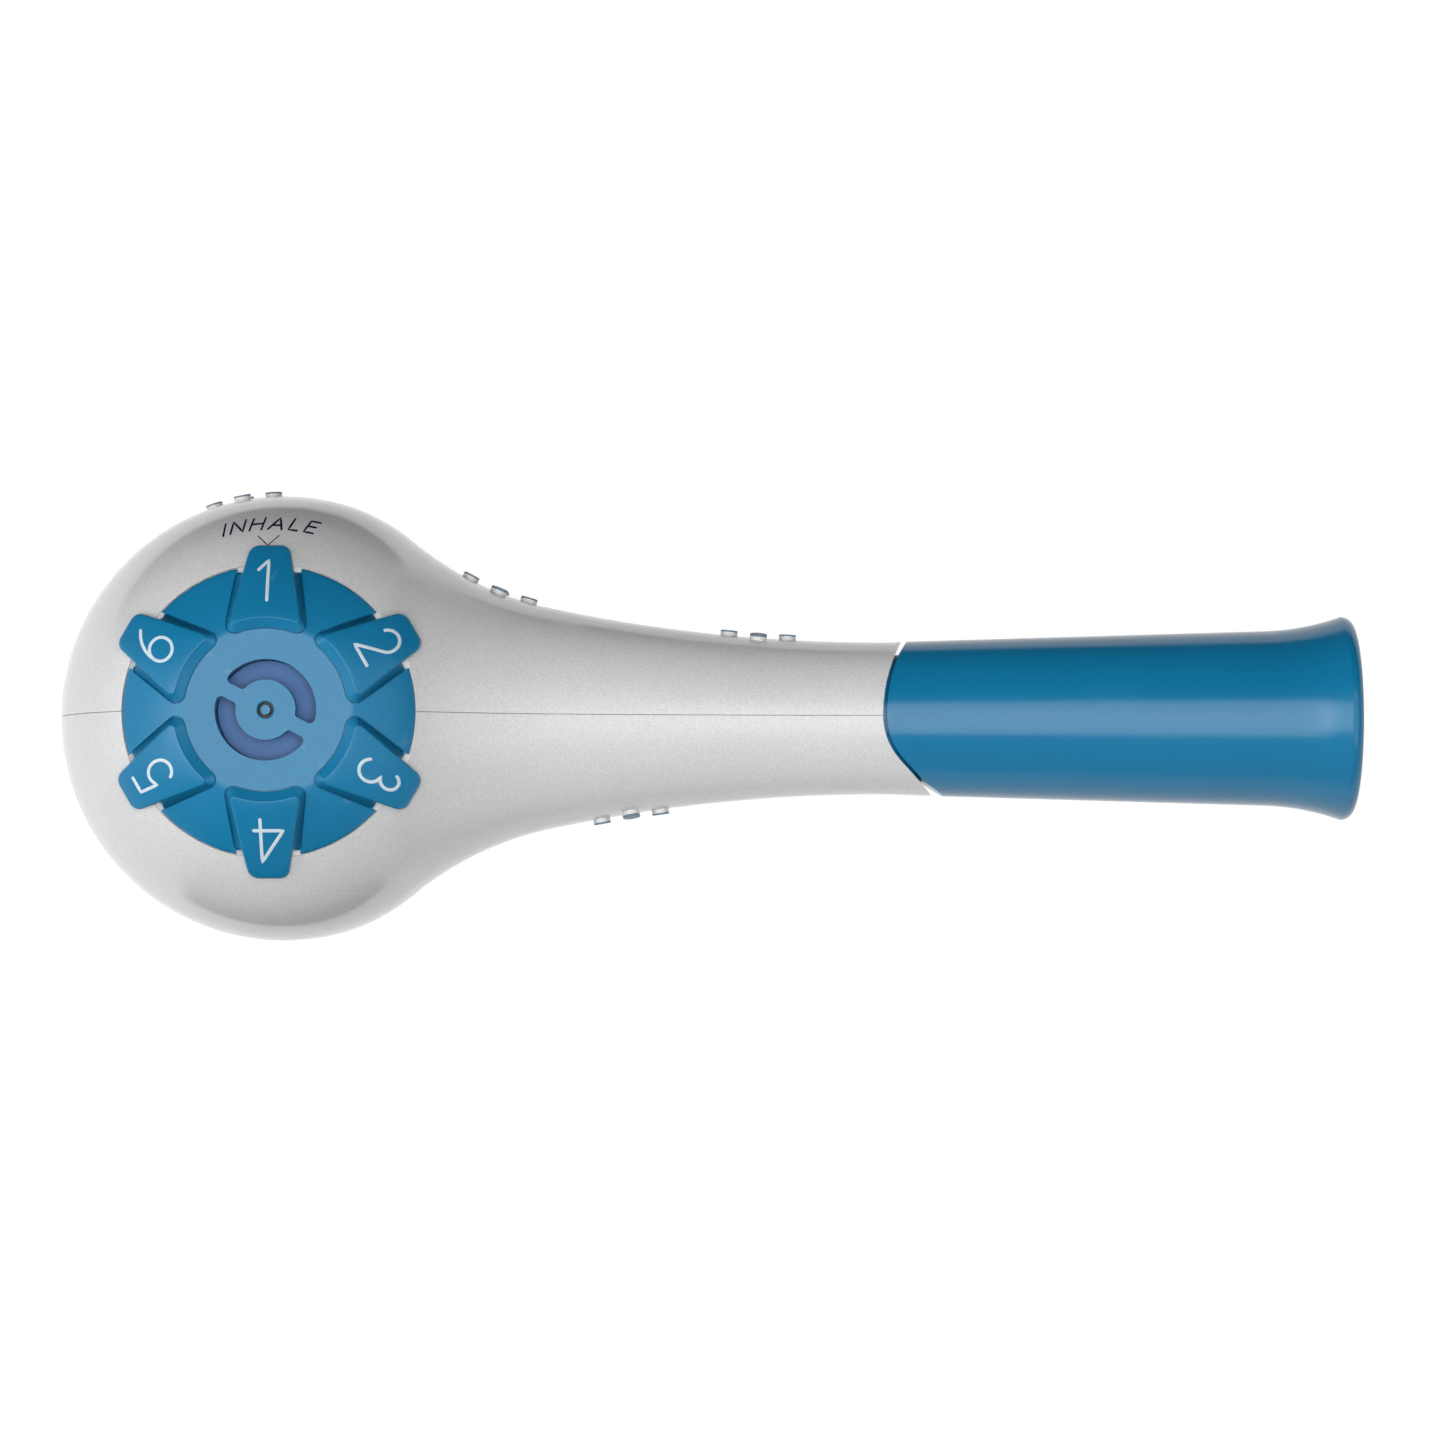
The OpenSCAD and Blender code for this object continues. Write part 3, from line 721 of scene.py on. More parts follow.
@dataclass
class HalfShell:
    """One of the two half shells, with its parting line scored along the joint face."""

    form: OuterForm
    grip: Grip
    score_width: float = 0.04 * MM
    score_depth: float = 0.25 * MM
    score_reach: float = 0.2
    form_reach: float = 0.05 * MM
    past_waist: float = 5 * MM
    least_radius: float = 1 * MM
    least_facing: float = 0.94
    flat_angle: float = math.radians(0.05)
    bisect_reach: float = 0.001 * MM

    def on_form(self, point: Vector) -> Vector | None:
        """Finds the surface normal for a point of the outer form.

        Args:
            point: a point in the frame of the part.

        Returns:
            The form's normal there, or None where the point isn't on the form.
        """
        distance = point.x - self.form.head_x
        spread = math.hypot(point.y, point.z)
        if distance > self.form.waist_distance + self.past_waist or spread < 1e-6:
            return None
        bow = self.form.bow_at(distance)
        if abs(bow.height(distance) - spread) > self.form_reach:
            return None
        lean = bow.lean(distance)
        out = Vector((0, point.y, point.z)) / spread
        return (math.cos(lean) * out + Vector((math.sin(lean), 0, 0))).normalized()

    def build(self) -> Object:
        """Copies the CAD shell, rounds its facets onto the form and scores the parting.

        Returns:
            The shell.
        """
        node = self.grip.name.lower() + "_side_shell"
        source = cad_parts[node]
        shell = source.copy()
        shell.data = source.data.copy()
        shell.name = self.grip.name.lower() + "_side_body"
        shell.parent = None
        for key in [k for k in shell.keys() if k.startswith("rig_")]:
            del shell[key]
        in_scene(shell)
        score = (0, self.grip.value * self.score_width, 0)
        edit(
            shell,
            lambda: bpy.ops.mesh.remove_doubles(threshold=MERGE),
            bpy.ops.mesh.customdata_custom_splitnormals_clear,
            lambda: bpy.ops.mesh.dissolve_limited(angle_limit=self.flat_angle),
            lambda: bpy.ops.mesh.select_all(action="SELECT"),
            lambda: bpy.ops.mesh.bisect(
                plane_co=score, plane_no=(0, 1, 0), threshold=self.bisect_reach
            ),
        )
        for vertex in shell.data.vertices:
            normal = self.on_form(vertex.co)
            if normal is None:
                continue
            distance = vertex.co.x - self.form.head_x
            out = Vector((0, vertex.co.y, vertex.co.z)).normalized()
            ideal = self.form.bow_at(distance).height(distance)
            if ideal > self.least_radius:
                vertex.co = Vector((vertex.co.x, 0, 0)) + out * ideal
            if abs(vertex.co.y) < self.score_reach * self.score_width:
                vertex.co -= normal * self.score_depth
        smooth(shell)
        self.true_normals(shell)
        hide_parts(node)
        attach(shell, "body")
        return shell

    def true_normals(self, shell: Object) -> None:
        """Gives the faces on the outer form its exact normals.

        Args:
            shell: the shell.
        """
        mesh = shell.data
        normals = [ORIGIN] * len(mesh.loops)
        for face in mesh.polygons:
            found = [self.on_form(mesh.vertices[i].co) for i in face.vertices]
            if None in found or any(face.normal.dot(n) < self.least_facing for n in found):
                continue
            for loop, normal in zip(face.loop_indices, found):
                normals[loop] = normal
        mesh.normals_split_custom_set(normals)

    def dress(self, shell: Object) -> None:
        """Gives the shell its matte white finish."""
        paint(shell, Finishes.body_white.material())


@dataclass
class StudCaps:
    """The soft caps on the grip studs of one side."""

    form: OuterForm
    grip: Grip
    pads: Sequence[float]
    stud_radius: float = 1 * MM
    stud_height: float = 0.4 * MM
    cap_height: float = 0.2 * MM
    pitch: float = 3.45 * MM
    side_offset: float = 2 * MM
    edge: float = 0.07 * MM

    def one(self) -> Object:
        """Models one cap, with its rim rounded.

        Returns:
            The cap, standing on the stud's top at the origin.
        """
        cap = fresh(
            bpy.ops.mesh.primitive_cylinder_add, vertices=40, radius=self.stud_radius,
            depth=self.cap_height, location=(0, 0, self.stud_height + self.cap_height / 2),
        )
        bpy.ops.object.transform_apply(location=True)
        bevel = cap.modifiers.new("rim", "BEVEL")
        bevel.width = self.edge
        bevel.segments = 3
        bevel.limit_method = "ANGLE"
        bpy.ops.object.modifier_apply(modifier=bevel.name)
        return cap

    def build(self) -> Object:
        """Sets a cap on each stud: one before, one behind and a pair between them.

        Returns:
            The joined caps.
        """
        half_turn = 0 if self.grip is Grip.FINGER else math.pi
        feet = []
        for pad in self.pads:
            for along, aside in ((-1, 0), (1, 0), (0, -1), (0, 1)):
                distance = pad + along * self.pitch
                turn = aside * self.side_offset / self.form.bow_at(distance).height(distance)
                feet.append(self.form.foot(distance, turn + half_turn))
        name = self.grip.name.lower()
        joined = join(name + "_stud_caps", copies(self.one(), feet))
        smooth(joined)
        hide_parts(name + "_grip_caps")
        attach(joined, "body")
        return joined

    def dress(self, caps: Object) -> None:
        """Gives the caps their soft blue finish."""
        paint(caps, Finishes.grip_blue.material())


# Mouthpiece


@dataclass
class Mouthpiece:
    """The blue barrel with its flared lip, its curved joint face and its spigot."""

    form: OuterForm
    barrel_start: float = 69.6 * MM
    barrel_radius: float = 10.3 * MM
    flare_length: float = 9 * MM
    lip_radius: float = 12 * MM
    lip_edge: float = 1.4 * MM
    bore_edge: float = 0.5 * MM
    bore_step: float = 4 * MM
    mouth_bore: float = 8 * MM
    spigot_bore: float = 5.6 * MM
    spigot_radius: float = 7.5 * MM
    spigot_length: float = 14 * MM
    spigot_edge: float = 0.4 * MM
    cone_start: float = 79.9 * MM
    cone_length: float = 6 * MM
    parting: float = 70.5 * MM
    upper_radius: float = 17.8 * MM
    upper_reach: float = 40
    lower_radius: float = 7.2 * MM
    slant: float = 44
    groove: tuple[float, float, float] = (58.8 * MM, 60.2 * MM, 6.25 * MM)
    corner_reach: float = 7.55 * MM
    run_reaches: tuple[float, float] = (9.2 * MM, 14 * MM)
    upper_relief: float = 0.12 * MM
    lower_relief: float = 0.7 * MM
    joint_gap: float = 0.22 * MM
    cutter_back: float = 6 * MM
    cutter_half: float = 20 * MM
    spigot_room: float = 0.02 * MM

    def outline(self) -> list[Vector]:
        """Closed profile of the turned body, as distance from the head centre and radius.

        Returns:
            The profile in the XY plane, from the spigot's tip along the outside and back.
        """
        waist, waist_radius = self.form.waist_distance, self.form.waist_radius
        mouth, spigot, edge = -self.form.head_x, self.spigot_radius, self.bore_edge
        lip = mouth - self.lip_edge
        flare = lip - self.flare_length
        slope = math.atan((self.barrel_radius - waist_radius) / (flare - waist))
        rise = self.lip_radius - self.barrel_radius
        turn = 2 * (math.atan(rise / self.flare_length) - slope)
        sweep = math.hypot(self.flare_length, rise) / (2 * math.sin(turn / 2))
        away = Vector((-math.sin(slope), math.cos(slope), 0))
        centre = Vector((flare, self.barrel_radius, 0)) + sweep * away
        start = math.degrees(slope) - 90
        tip = self.parting - self.spigot_length
        back, front, depth = self.groove
        root = self.barrel_start
        barrel = [root + i * (flare - root) / 24 for i in range(24)]
        return [
            *flat(
                (tip, spigot - self.spigot_edge), (tip + self.spigot_edge, spigot),
                (back, spigot), (back, depth), (front, depth), (front, spigot), (root, spigot),
                *((d, waist_radius + (d - waist) * math.tan(slope)) for d in barrel),
            ),
            *arc(centre, sweep, start, start + math.degrees(turn), 14),
            *arc(Vector((lip, self.lip_radius - self.lip_edge, 0)), self.lip_edge, 72, 0, 10),
            *arc(Vector((mouth - edge, self.mouth_bore + edge, 0)), edge, 0, -90, 6),
            *flat(
                *((mouth - edge - i * self.bore_step, self.mouth_bore) for i in range(1, 9)),
                (self.cone_start + self.cone_length, self.mouth_bore),
                (self.cone_start, self.spigot_bore), (self.parting, self.spigot_bore),
                (tip, self.spigot_bore),
            ),
        ]

    def neck_side(self) -> Object:
        """Models the tool that cuts the curved joint face and spares the spigot.

        Returns:
            The tool, in distances from the head centre.
        """
        upper = Vector((self.parting + self.upper_radius, 0, 0))
        lower = Vector((self.parting + self.lower_radius, 0, 0))
        near = self.parting - self.cutter_back
        bend = arc(lower, self.lower_radius, 182, 180 + self.slant, 18)
        last, way = bend[-1], Vector((math.tan(math.radians(self.slant)), -1, 0))
        curve = [
            *arc(upper, self.upper_radius, 180 - self.upper_reach, 180, 28),
            *bend,
            *[last + way * (depth + last.y) for depth in (self.corner_reach, *self.run_reaches)],
        ]
        corner = self.corner_reach
        for point in curve:
            beyond = max(0.0, abs(point.y) - corner) / (self.form.waist_radius - corner)
            relief = self.upper_relief if point.y > 0 else self.lower_relief
            point.x += self.joint_gap + beyond * relief
        outline = [*curve, *flat((near, curve[-1].y), (near, curve[0].y))]
        tool = prism("joint_cutter", outline, -self.cutter_half, 2 * self.cutter_half)
        spigot = fresh(
            bpy.ops.mesh.primitive_cylinder_add, vertices=128,
            radius=self.spigot_radius + self.spigot_room, depth=3 * self.cutter_half,
            location=(self.parting, 0, 0), rotation=(0, QUARTER, 0),
        )
        cut(tool, spigot)
        return tool

    def build(self) -> Object:
        """Turns the body, cuts its joint face and places it.

        Returns:
            The mouthpiece.
        """
        body = spun("mouthpiece_barrel", self.outline(), (1, 0, 0), 128)
        cut(body, self.neck_side())
        body.data.transform(Matrix.Translation((self.form.head_x, 0, 0)))
        smooth(body, 25)
        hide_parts("mouthpiece")
        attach(body, "mouthpiece_set")
        return body

    def dress(self, body: Object) -> None:
        """Gives the mouthpiece its satin blue finish."""
        paint(body, Finishes.mouthpiece_blue.material())


# Lettering


@dataclass(frozen=True)
class Glyph:
    """A character in thin even strokes, one unit high.

    A stroke's item is a point (x, y) or an arc (x, y, radius across, radius up, from, to).
    """

    width: float
    strokes: tuple[tuple[tuple[float, ...], ...], ...]

    def lines(self) -> list[list[Vector]]:
        """Samples each stroke.

        Returns:
            The points of each stroke.
        """
        sampled = []
        for stroke in self.strokes:
            points = []
            for x, y, *bend in stroke:
                if not bend:
                    points += flat((x, y))
                    continue
                across, up, start, end = bend
                steps = max(4, int(abs(end - start) / 12))
                turns = [math.radians(start + (end - start) * i / steps) for i in range(steps + 1)]
                points += flat(*((x + across * math.cos(a), y + up * math.sin(a)) for a in turns))
            sampled.append(points)
        return sampled


GLYPHS = {
    "1": Glyph(0.3, (((-0.22, 0.76), (0.01, 1.0), (0.02, 0.0)),)),
    "2": Glyph(0.6, (((0, 0.7, 0.27, 0.28, 165, -38), (-0.3, 0.0), (0.29, 0.0)),)),
    "3": Glyph(0.6, (((0, 0.76, 0.2, 0.22, 155, -90), (0, 0.27, 0.27, 0.27, 90, -150)),)),
    "4": Glyph(0.7, (((0.12, 0.0), (0.12, 1.0), (-0.42, 0.26), (0.28, 0.26)),)),
    "5": Glyph(0.6, (
        ((0.22, 0.98), (-0.17, 0.98), (-0.24, 0.53), (-0.02, 0.31, 0.28, 0.3, 120, -145)),
    )),
    "6": Glyph(0.6, (
        ((0.511, 0.29, 0.801, 0.801, 117.6, 180), (0, 0.29, 0.29, 0.29, 186, 540)),
    )),
    "A": Glyph(0.8, (((-0.4, 0.0), (0.0, 1.0), (0.4, 0.0)), ((-0.26, 0.35), (0.26, 0.35)))),
    "E": Glyph(0.55, (
        ((0.28, 1.0), (-0.27, 1.0), (-0.27, 0.0), (0.28, 0.0)), ((-0.27, 0.52), (0.22, 0.52)),
    )),
    "H": Glyph(0.7, (
        ((-0.35, 0.0), (-0.35, 1.0)), ((0.35, 0.0), (0.35, 1.0)), ((-0.35, 0.52), (0.35, 0.52)),
    )),
    "I": Glyph(0.05, (((0.0, 0.0), (0.0, 1.0)),)),
    "L": Glyph(0.5, (((-0.25, 1.0), (-0.25, 0.0), (0.26, 0.0)),)),
    "N": Glyph(0.75, (((-0.37, 0.0), (-0.37, 1.0), (0.37, 0.0), (0.37, 1.0)),)),
    "X": Glyph(0.75, (((-0.37, 0.0), (0.37, 1.0)), ((-0.37, 1.0), (0.37, 0.0)))),
}


@dataclass
class Lettering:
    """Marks printed on one face, laid on a ball about the head centre."""

    form: OuterForm
    side: Side
    ball_radius: float
    stroke: float
    relief: float = 0.03 * MM
    stretch: float = 1.0
    lean: float = 0.0
    fineness: float = 0.35 * MM
    end_round: tuple[tuple[float, float], ...] = ((0.0, 0.05), (0.25, 0.66), (0.6, 0.92))

    def bead(self, points: Sequence[Vector]) -> Object:
        """Draws one stroke as a flat bead with round ends, in the plane of the face.

        Args:
            points: the stroke's points, in metres.

        Returns:
            The bead as a mesh.
        """
        fine = []
        for a, b in zip(points, points[1:]):
            pieces = max(1, int((b - a).length / self.fineness))
            fine += [a.lerp(b, i / pieces) for i in range(pieces)]
        fine.append(points[-1])
        half = self.stroke / 2
        first = (fine[0] - fine[1]).normalized() * half
        last = (fine[-1] - fine[-2]).normalized() * half
        line = [(fine[0] + first * (1 - t), r) for t, r in self.end_round]
        line += [(p, 1.0) for p in fine]
        line += [(fine[-1] + last * (1 - t), r) for t, r in reversed(self.end_round)]
        curve = bpy.data.curves.new("stroke", "CURVE")
        curve.dimensions = "3D"
        curve.bevel_depth = half
        curve.bevel_resolution = 2
        curve.use_fill_caps = True
        spline = curve.splines.new("POLY")
        spline.points.add(len(line) - 1)
        for target, (point, radius) in zip(spline.points, line):
            target.co = (*point, 1)
            target.radius = radius
        select_only(in_scene(bpy.data.objects.new("stroke", curve)))
        bpy.ops.object.convert(target="MESH")
        return bpy.context.object

    def mark(self, lines: Sequence[Sequence[Vector]], place: Matrix) -> list[Object]:
        """Lays strokes on the ball.

        Args:
            lines: the strokes in their own plane, in metres.
            place: turns and moves that plane into the plane of the face.

        Returns:
            The strokes as meshes on the ball.
        """
        pieces = [self.bead(points) for points in lines]
        for piece in pieces:
            for vertex in piece.data.vertices:
                rise = vertex.co.z / (self.stroke / 2) * self.relief
                spot = place @ Vector((vertex.co.x, vertex.co.y, 0))
                up = math.sqrt(self.ball_radius**2 - spot.x**2 - spot.y**2) * self.side.value
                vertex.co = Vector((spot.x, spot.y, up)) * (1 + rise / self.ball_radius)
            piece.data.transform(Matrix.Translation((self.form.head_x, 0, 0)))
        return pieces

    def spot(self, radius: float, turn: float) -> Matrix:
        """Plane of a mark whose top points away from the dial's axis.

        Args:
            radius: the distance of the mark's foot from the axis.
            turn: its angle from +Y, clockwise as the face is looked at, in degrees.

        Returns:
            The placing of the mark.
        """
        flip = Matrix.Scale(self.side.value, 4, (1, 0, 0))
        turned = flip @ Matrix.Rotation(-math.radians(turn), 4, "Z")
        return turned @ Matrix.Translation((0, radius, 0))

    def character(self, letter: str, height: float, radius: float, turn: float) -> list[Object]:
        """Draws one character.

        Args:
            letter: the character.
            height: its height.
            radius: the distance of its foot from the dial's axis.
            turn: its angle from +Y, clockwise as the face is looked at, in degrees.

        Returns:
            Its strokes on the ball.
        """
        lines = [
            [height * Vector((p.x * self.stretch + (p.y - 0.5) * self.lean, p.y, 0)) for p in line]
            for line in GLYPHS[letter].lines()
        ]
        return self.mark(lines, self.spot(radius, turn))

    def word(
        self, text: str, height: float, radius: float, centre: float, spread: float
    ) -> list[Object]:
        """Sets a word along an arc round the dial.

        Args:
            text: the word, in capitals.
            height: the letters' height.
            radius: the radius of the arc that the letters stand on.
            centre: the angle of the word's middle from +Y, in degrees.
            spread: the angle from the word's start to its end, in degrees.

        Returns:
            The strokes of all letters.
        """
        widths = [GLYPHS[c].width * self.stretch for c in text]
        per_unit = math.degrees(height / (radius + height / 2))
        total = spread / per_unit
        gap = (total - sum(widths)) / (len(text) - 1)
        pieces, at = [], -total / 2
        for letter, width in zip(text, widths):
            turn = centre + (at + width / 2) * per_unit
            pieces += self.character(letter, height, radius, turn)
            at += width + gap
        return pieces


# Dials


@dataclass(frozen=True)
class TabRim:
    """The sizes that differ between a tab's foot and its top.

    The root is the end towards the dial's axis. A shoulder of 0 stays on the top's side line.
    """

    root_arc: float
    root_half: float
    root_round: float
    shoulder: float = 0.0


@dataclass
class Dial:
    """A resistance dial: a cap flush with the ball, kidney slots and raised tabs."""

    form: OuterForm
    side: Side
    settings: int
    radius: float = 16.66 * MM
    flat_z: float = 24.3 * MM
    flat_edge: float = 0.25 * MM
    ring_step: float = 0.42 * MM
    wall: float = 2 * MM
    edge: float = 0.12 * MM
    pocket_radius: float = 14.9 * MM
    skirt_radius: float = 15.85 * MM
    lip_thickness: float = 0.7 * MM
    skirt_z: float = 16.5 * MM
    tab_ball: float = 27.2 * MM
    tab_edge: float = 0.2 * MM
    tab_sink: float = 0.35 * MM
    tab_foot: TabRim = TabRim(9.3 * MM, 4.75 * MM, 1 * MM, 3.68 * MM)
    tab_top: TabRim = TabRim(10.3 * MM, 4.1 * MM, 0.55 * MM)
    tab_root_y: float = 9.45 * MM
    shoulder_y: tuple[float, float] = (15.5 * MM, 15.85 * MM)
    tip_y: float = 19 * MM
    tip_half: float = 2.2 * MM
    tip_round: float = 1.25 * MM
    tab_middle: float = 14.4 * MM
    trench_width: float = 0.16 * MM
    trench_depth: float = 0.35 * MM
    cap_margin: float = 0.3 * MM
    clear_ball: float = 26.45 * MM
    tool_room: float = 1 * MM
    notch: float = 0.62 * MM
    notch_shift: float = 0.25 * MM
    notch_span: tuple[float, float] = (22 * MM, 20 * MM)
    slot_inner: float = 3.4 * MM
    slot_outer: float = 5.75 * MM
    slot_rounds: tuple[float, float] = (0.6 * MM, 0.4 * MM)
    spoke: float = 1.7 * MM
    spoke_turn: float = 153
    pip_hole: float = 0.92 * MM
    spindle_hole: float = 1.2 * MM
    shoulder_drop: float = 1.3 * MM
    digit_height: float = 4.75 * MM
    digit_foot: float = 12.42 * MM
    digit_stroke: float = 0.37 * MM

    def name(self, piece: str) -> str:
        """Name of a piece of this dial."""
        return f"{self.side.name.lower()}_{piece}"

    def to_face(self) -> Matrix:
        """Placing of what is modelled about the head centre, facing +Z."""
        upright = Matrix.Scale(self.side.value, 4, (0, 0, 1))
        return Matrix.Translation((self.form.head_x, 0, 0)) @ upright

    def turns(self) -> list[Matrix]:
        """The turn of each setting's tab from +Y."""
        count = self.settings
        return [Matrix.Rotation(-i * FULL_TURN / count, 4, "Z") for i in range(count)]

    def flat_rings(self) -> list[float]:
        """Radii of close rings of edges on the flat, which keep the faces small."""
        return [self.pip_hole + 0.5 * MM + i * self.ring_step for i in range(20)]

    def cap_profile(self) -> list[Vector]:
        """Closed profile of the cap in the XZ plane.

        Returns:
            The profile from the middle of the flat outwards and back inside.
        """
        ball, edge, lip = self.form.head_radius, self.edge, self.lip_thickness
        pip, top = self.pip_hole, self.flat_z
        inner = ball - 0.9 * self.wall
        rim = math.degrees(math.acos(self.radius / ball))
        crown = math.degrees(math.asin(top / ball))
        rim_z = ball * math.sin(math.radians(rim))
        flat_radius = ball * math.cos(math.radians(crown))
        ceiling, shoulder = top - self.wall, top - self.shoulder_drop
        inner_top = math.degrees(math.asin(ceiling / inner))
        inner_rim = math.degrees(math.acos(self.pocket_radius / inner))
        outline = [
            *flat(
                (pip, top - edge), (pip + edge, top),
                *((r, top) for r in self.flat_rings()), (flat_radius - self.flat_edge, top),
            ),
            *arc(ORIGIN, ball, crown - 0.6, rim + 0.4, 22),
            *flat(
                (self.radius, rim_z - edge), (self.radius, rim_z - lip),
                (self.skirt_radius, rim_z - lip), (self.skirt_radius, self.skirt_z),
                (self.pocket_radius, self.skirt_z),
            ),
            *arc(ORIGIN, inner, inner_rim, inner_top, 8),
            *flat((self.spindle_hole, ceiling), (self.spindle_hole, shoulder), (pip, shoulder)),
        ]
        return [Vector((p.x, 0, p.y)) for p in outline]

    def slot_outline(self) -> list[Vector]:
        """Outline of the kidney slot on the +Y side of the spokes.

        Returns:
            The outline, with rounded ends.
        """
        outer = math.degrees(math.asin(self.spoke / 2 / self.slot_outer))
        inner = math.degrees(math.asin(self.spoke / 2 / self.slot_inner))
        sweep = arc(ORIGIN, self.slot_outer, outer, 180 - outer, 36)
        back = arc(ORIGIN, self.slot_inner, 180 - inner, inner, 28)
        sweep[1:3] = sweep[-3:-1] = back[1:3] = back[-3:-1] = []
        radii = [0.0] * len(sweep + back)
        radii[0] = radii[len(sweep) - 1] = self.slot_rounds[0]
        radii[len(sweep)] = radii[-1] = self.slot_rounds[1]
        return rounded(sweep + back, radii)

    def tab_outline(self, rim: TabRim) -> list[Vector]:
        """Outline of the tab that points along +Y.

        Args:
            rim: the sizes of its foot or of its top.

        Returns:
            The outline, with as many points for both.
        """
        root = rim.root_half
        half = math.degrees(math.asin(root / rim.root_arc))
        tip = Vector((self.tip_half, self.tip_y, 0))
        slope = (self.tab_top.root_half - self.tip_half) / (self.tip_y - self.tab_root_y)
        stop, end = self.shoulder_y
        side = [
            Vector((root, math.sqrt(rim.root_arc**2 - root**2), 0)),
            Vector((rim.shoulder or tip.x + (self.tip_y - stop) * slope, stop, 0)),
            Vector((tip.x + (self.tip_y - end) * slope, end, 0)),
            tip,
        ]
        radii = [rim.root_round, 0, 0, self.tip_round]
        mirrored = [p * Vector((-1, 1, 1)) for p in reversed(side)]
        edge = arc(ORIGIN, rim.root_arc, 90 + half, 90 - half, 12)[2:-2]
        return rounded([*side, *mirrored, *edge], [*radii, *reversed(radii), *([0] * len(edge))])

    def seat(self, p: Vector) -> float:
        """Distance from the head centre of the surface that carries the tabs."""
        return min(self.form.head_radius, math.hypot(self.flat_z, p.length))

    def trench(self) -> Object:
        """Models the tool that cuts a fine groove round the foot of the tab along +Y.

        Returns:
            The closed tool.
        """
        rim = drawn_in(self.tab_outline(self.tab_foot), -self.trench_width)
        middle = Vector((0, self.tab_middle, 0))
        steps = [(share, -self.trench_depth) for share in (POLE, 0.5, 0.85, 1)]
        steps += [(share, self.tool_room) for share in (1, 0.5, POLE)]
        rings = [
            lifted([middle.lerp(p, share) for p in rim], lambda p, rise=rise: self.seat(p) + rise)
            for share, rise in steps
        ]
        return lofted("trench_tool", rings)

    def tab(self) -> Object:
        """Models the tab that points along +Y, with sloping sides and a rounded top edge.

        Returns:
            The closed tab.
        """
        edge, cap_end = self.tab_edge, self.radius - self.cap_margin
        top, base = self.tab_outline(self.tab_top), self.tab_outline(self.tab_foot)
        middle = Vector((0, self.tab_middle, 0))

        def foot(p: Vector) -> float:
            """Level of the lowest edge: sunk in the cap, or clear of the shells past its rim."""
            sunk = self.form.head_radius - self.tab_sink
            return sunk if p.length < cap_end else self.clear_ball

        def seat(p: Vector) -> float:
            """Level of the line where a sloping side meets the cap."""
            return self.clear_ball if p.length > cap_end else self.seat(p)

        def inside(outline: list[Vector], share: float, ball: float) -> list[Vector]:
            """A ring of the underside or the top, drawn towards the tab's middle."""
            return lifted([middle.lerp(p, share) for p in outline], lambda p: ball)

        rings = [inside(base, share, self.clear_ball) for share in (POLE, 0.5, 0.85)]
        rings += [lifted(base, foot), lifted(base, seat)]
        for bend in (0, 22.5, 45, 67.5, 90):
            in_by = edge * (1 - math.cos(math.radians(bend)))
            ball = self.tab_ball - edge * (1 - math.sin(math.radians(bend)))
            rings.append(lifted(drawn_in(top, in_by), lambda p: ball))
        within = drawn_in(top, edge)
        shares = (0.85, 0.7, 0.55, 0.4, 0.25, 0.12, POLE)
        rings += [inside(within, share, self.tab_ball) for share in shares]
        tab = lofted("tab", rings)
        edit(tab, lambda: close_up(10 * MERGE))
        return tab

    def rim_notches(self) -> Object:
        """Models the tools that cut the notches on both sides of each tab.

        Returns:
            The joined tools.
        """
        outer, inner = self.tab_foot.shoulder, self.tip_half
        height, length = self.notch_span
        size = Matrix.Diagonal((outer - inner, self.notch + self.tool_room, length, 1))
        along = self.radius - self.notch / 2 + self.notch_shift
        tools = []
        for turn in self.turns():
            for way in (-1, 1):
                spot = Matrix.Translation((way * (outer + inner) / 2, along, height))
                tool = fresh(bpy.ops.mesh.primitive_cube_add, size=1)
                tool.data.transform(turn @ spot @ size)
                tools.append(tool)
        return join("notch_tools", tools)

    def build(self) -> Object:
        """Models the cap, cuts its slots and notches and adds the tabs.

        Returns:
            The dial.
        """
        cap = spun("cap", self.cap_profile(), (0, 0, 1), 144)
        low, length = self.flat_z - self.wall - self.tool_room, self.wall + 2 * self.tool_room
        for turn in (0, 180):
            tool = prism("slot_tool", self.slot_outline(), low, length)
            tool.data.transform(Matrix.Rotation(math.radians(self.spoke_turn + turn), 4, "Z"))
            cut(cap, tool)
        cut(cap, self.rim_notches())
        for tool in copies(self.trench(), self.turns()):
            cut(cap, tool)
        dial = join(self.name("resistance_dial"), [cap, *copies(self.tab(), self.turns())])
        dial.data.transform(self.to_face())
        if self.side is Side.EXHALE:
            dial.data.flip_normals()
        smooth(dial, 35)
        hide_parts(self.name("dial"))
        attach(dial, self.name("dial_set"))
        return dial

    def digits(self) -> Object:
        """Draws the setting numbers on the tabs.

        Returns:
            The joined digits.
        """
        pen = Lettering(self.form, self.side, self.tab_ball, self.digit_stroke)
        pieces = []
        for i in range(self.settings):
            turn = self.side.value * i * 360 / self.settings
            pieces += pen.character(str(i + 1), self.digit_height, self.digit_foot, turn)
        digits = join(self.name("dial_numbers"), pieces)
        smooth(digits, 60)
        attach(digits, self.name("dial_set"))
        return digits

    def dress(self, dial: Object, digits: Object) -> None:
        """Gives the dial its satin blue and its digits their white."""
        paint(dial, Finishes.dial_blue.material())
        paint(digits, Finishes.digit_white.material())


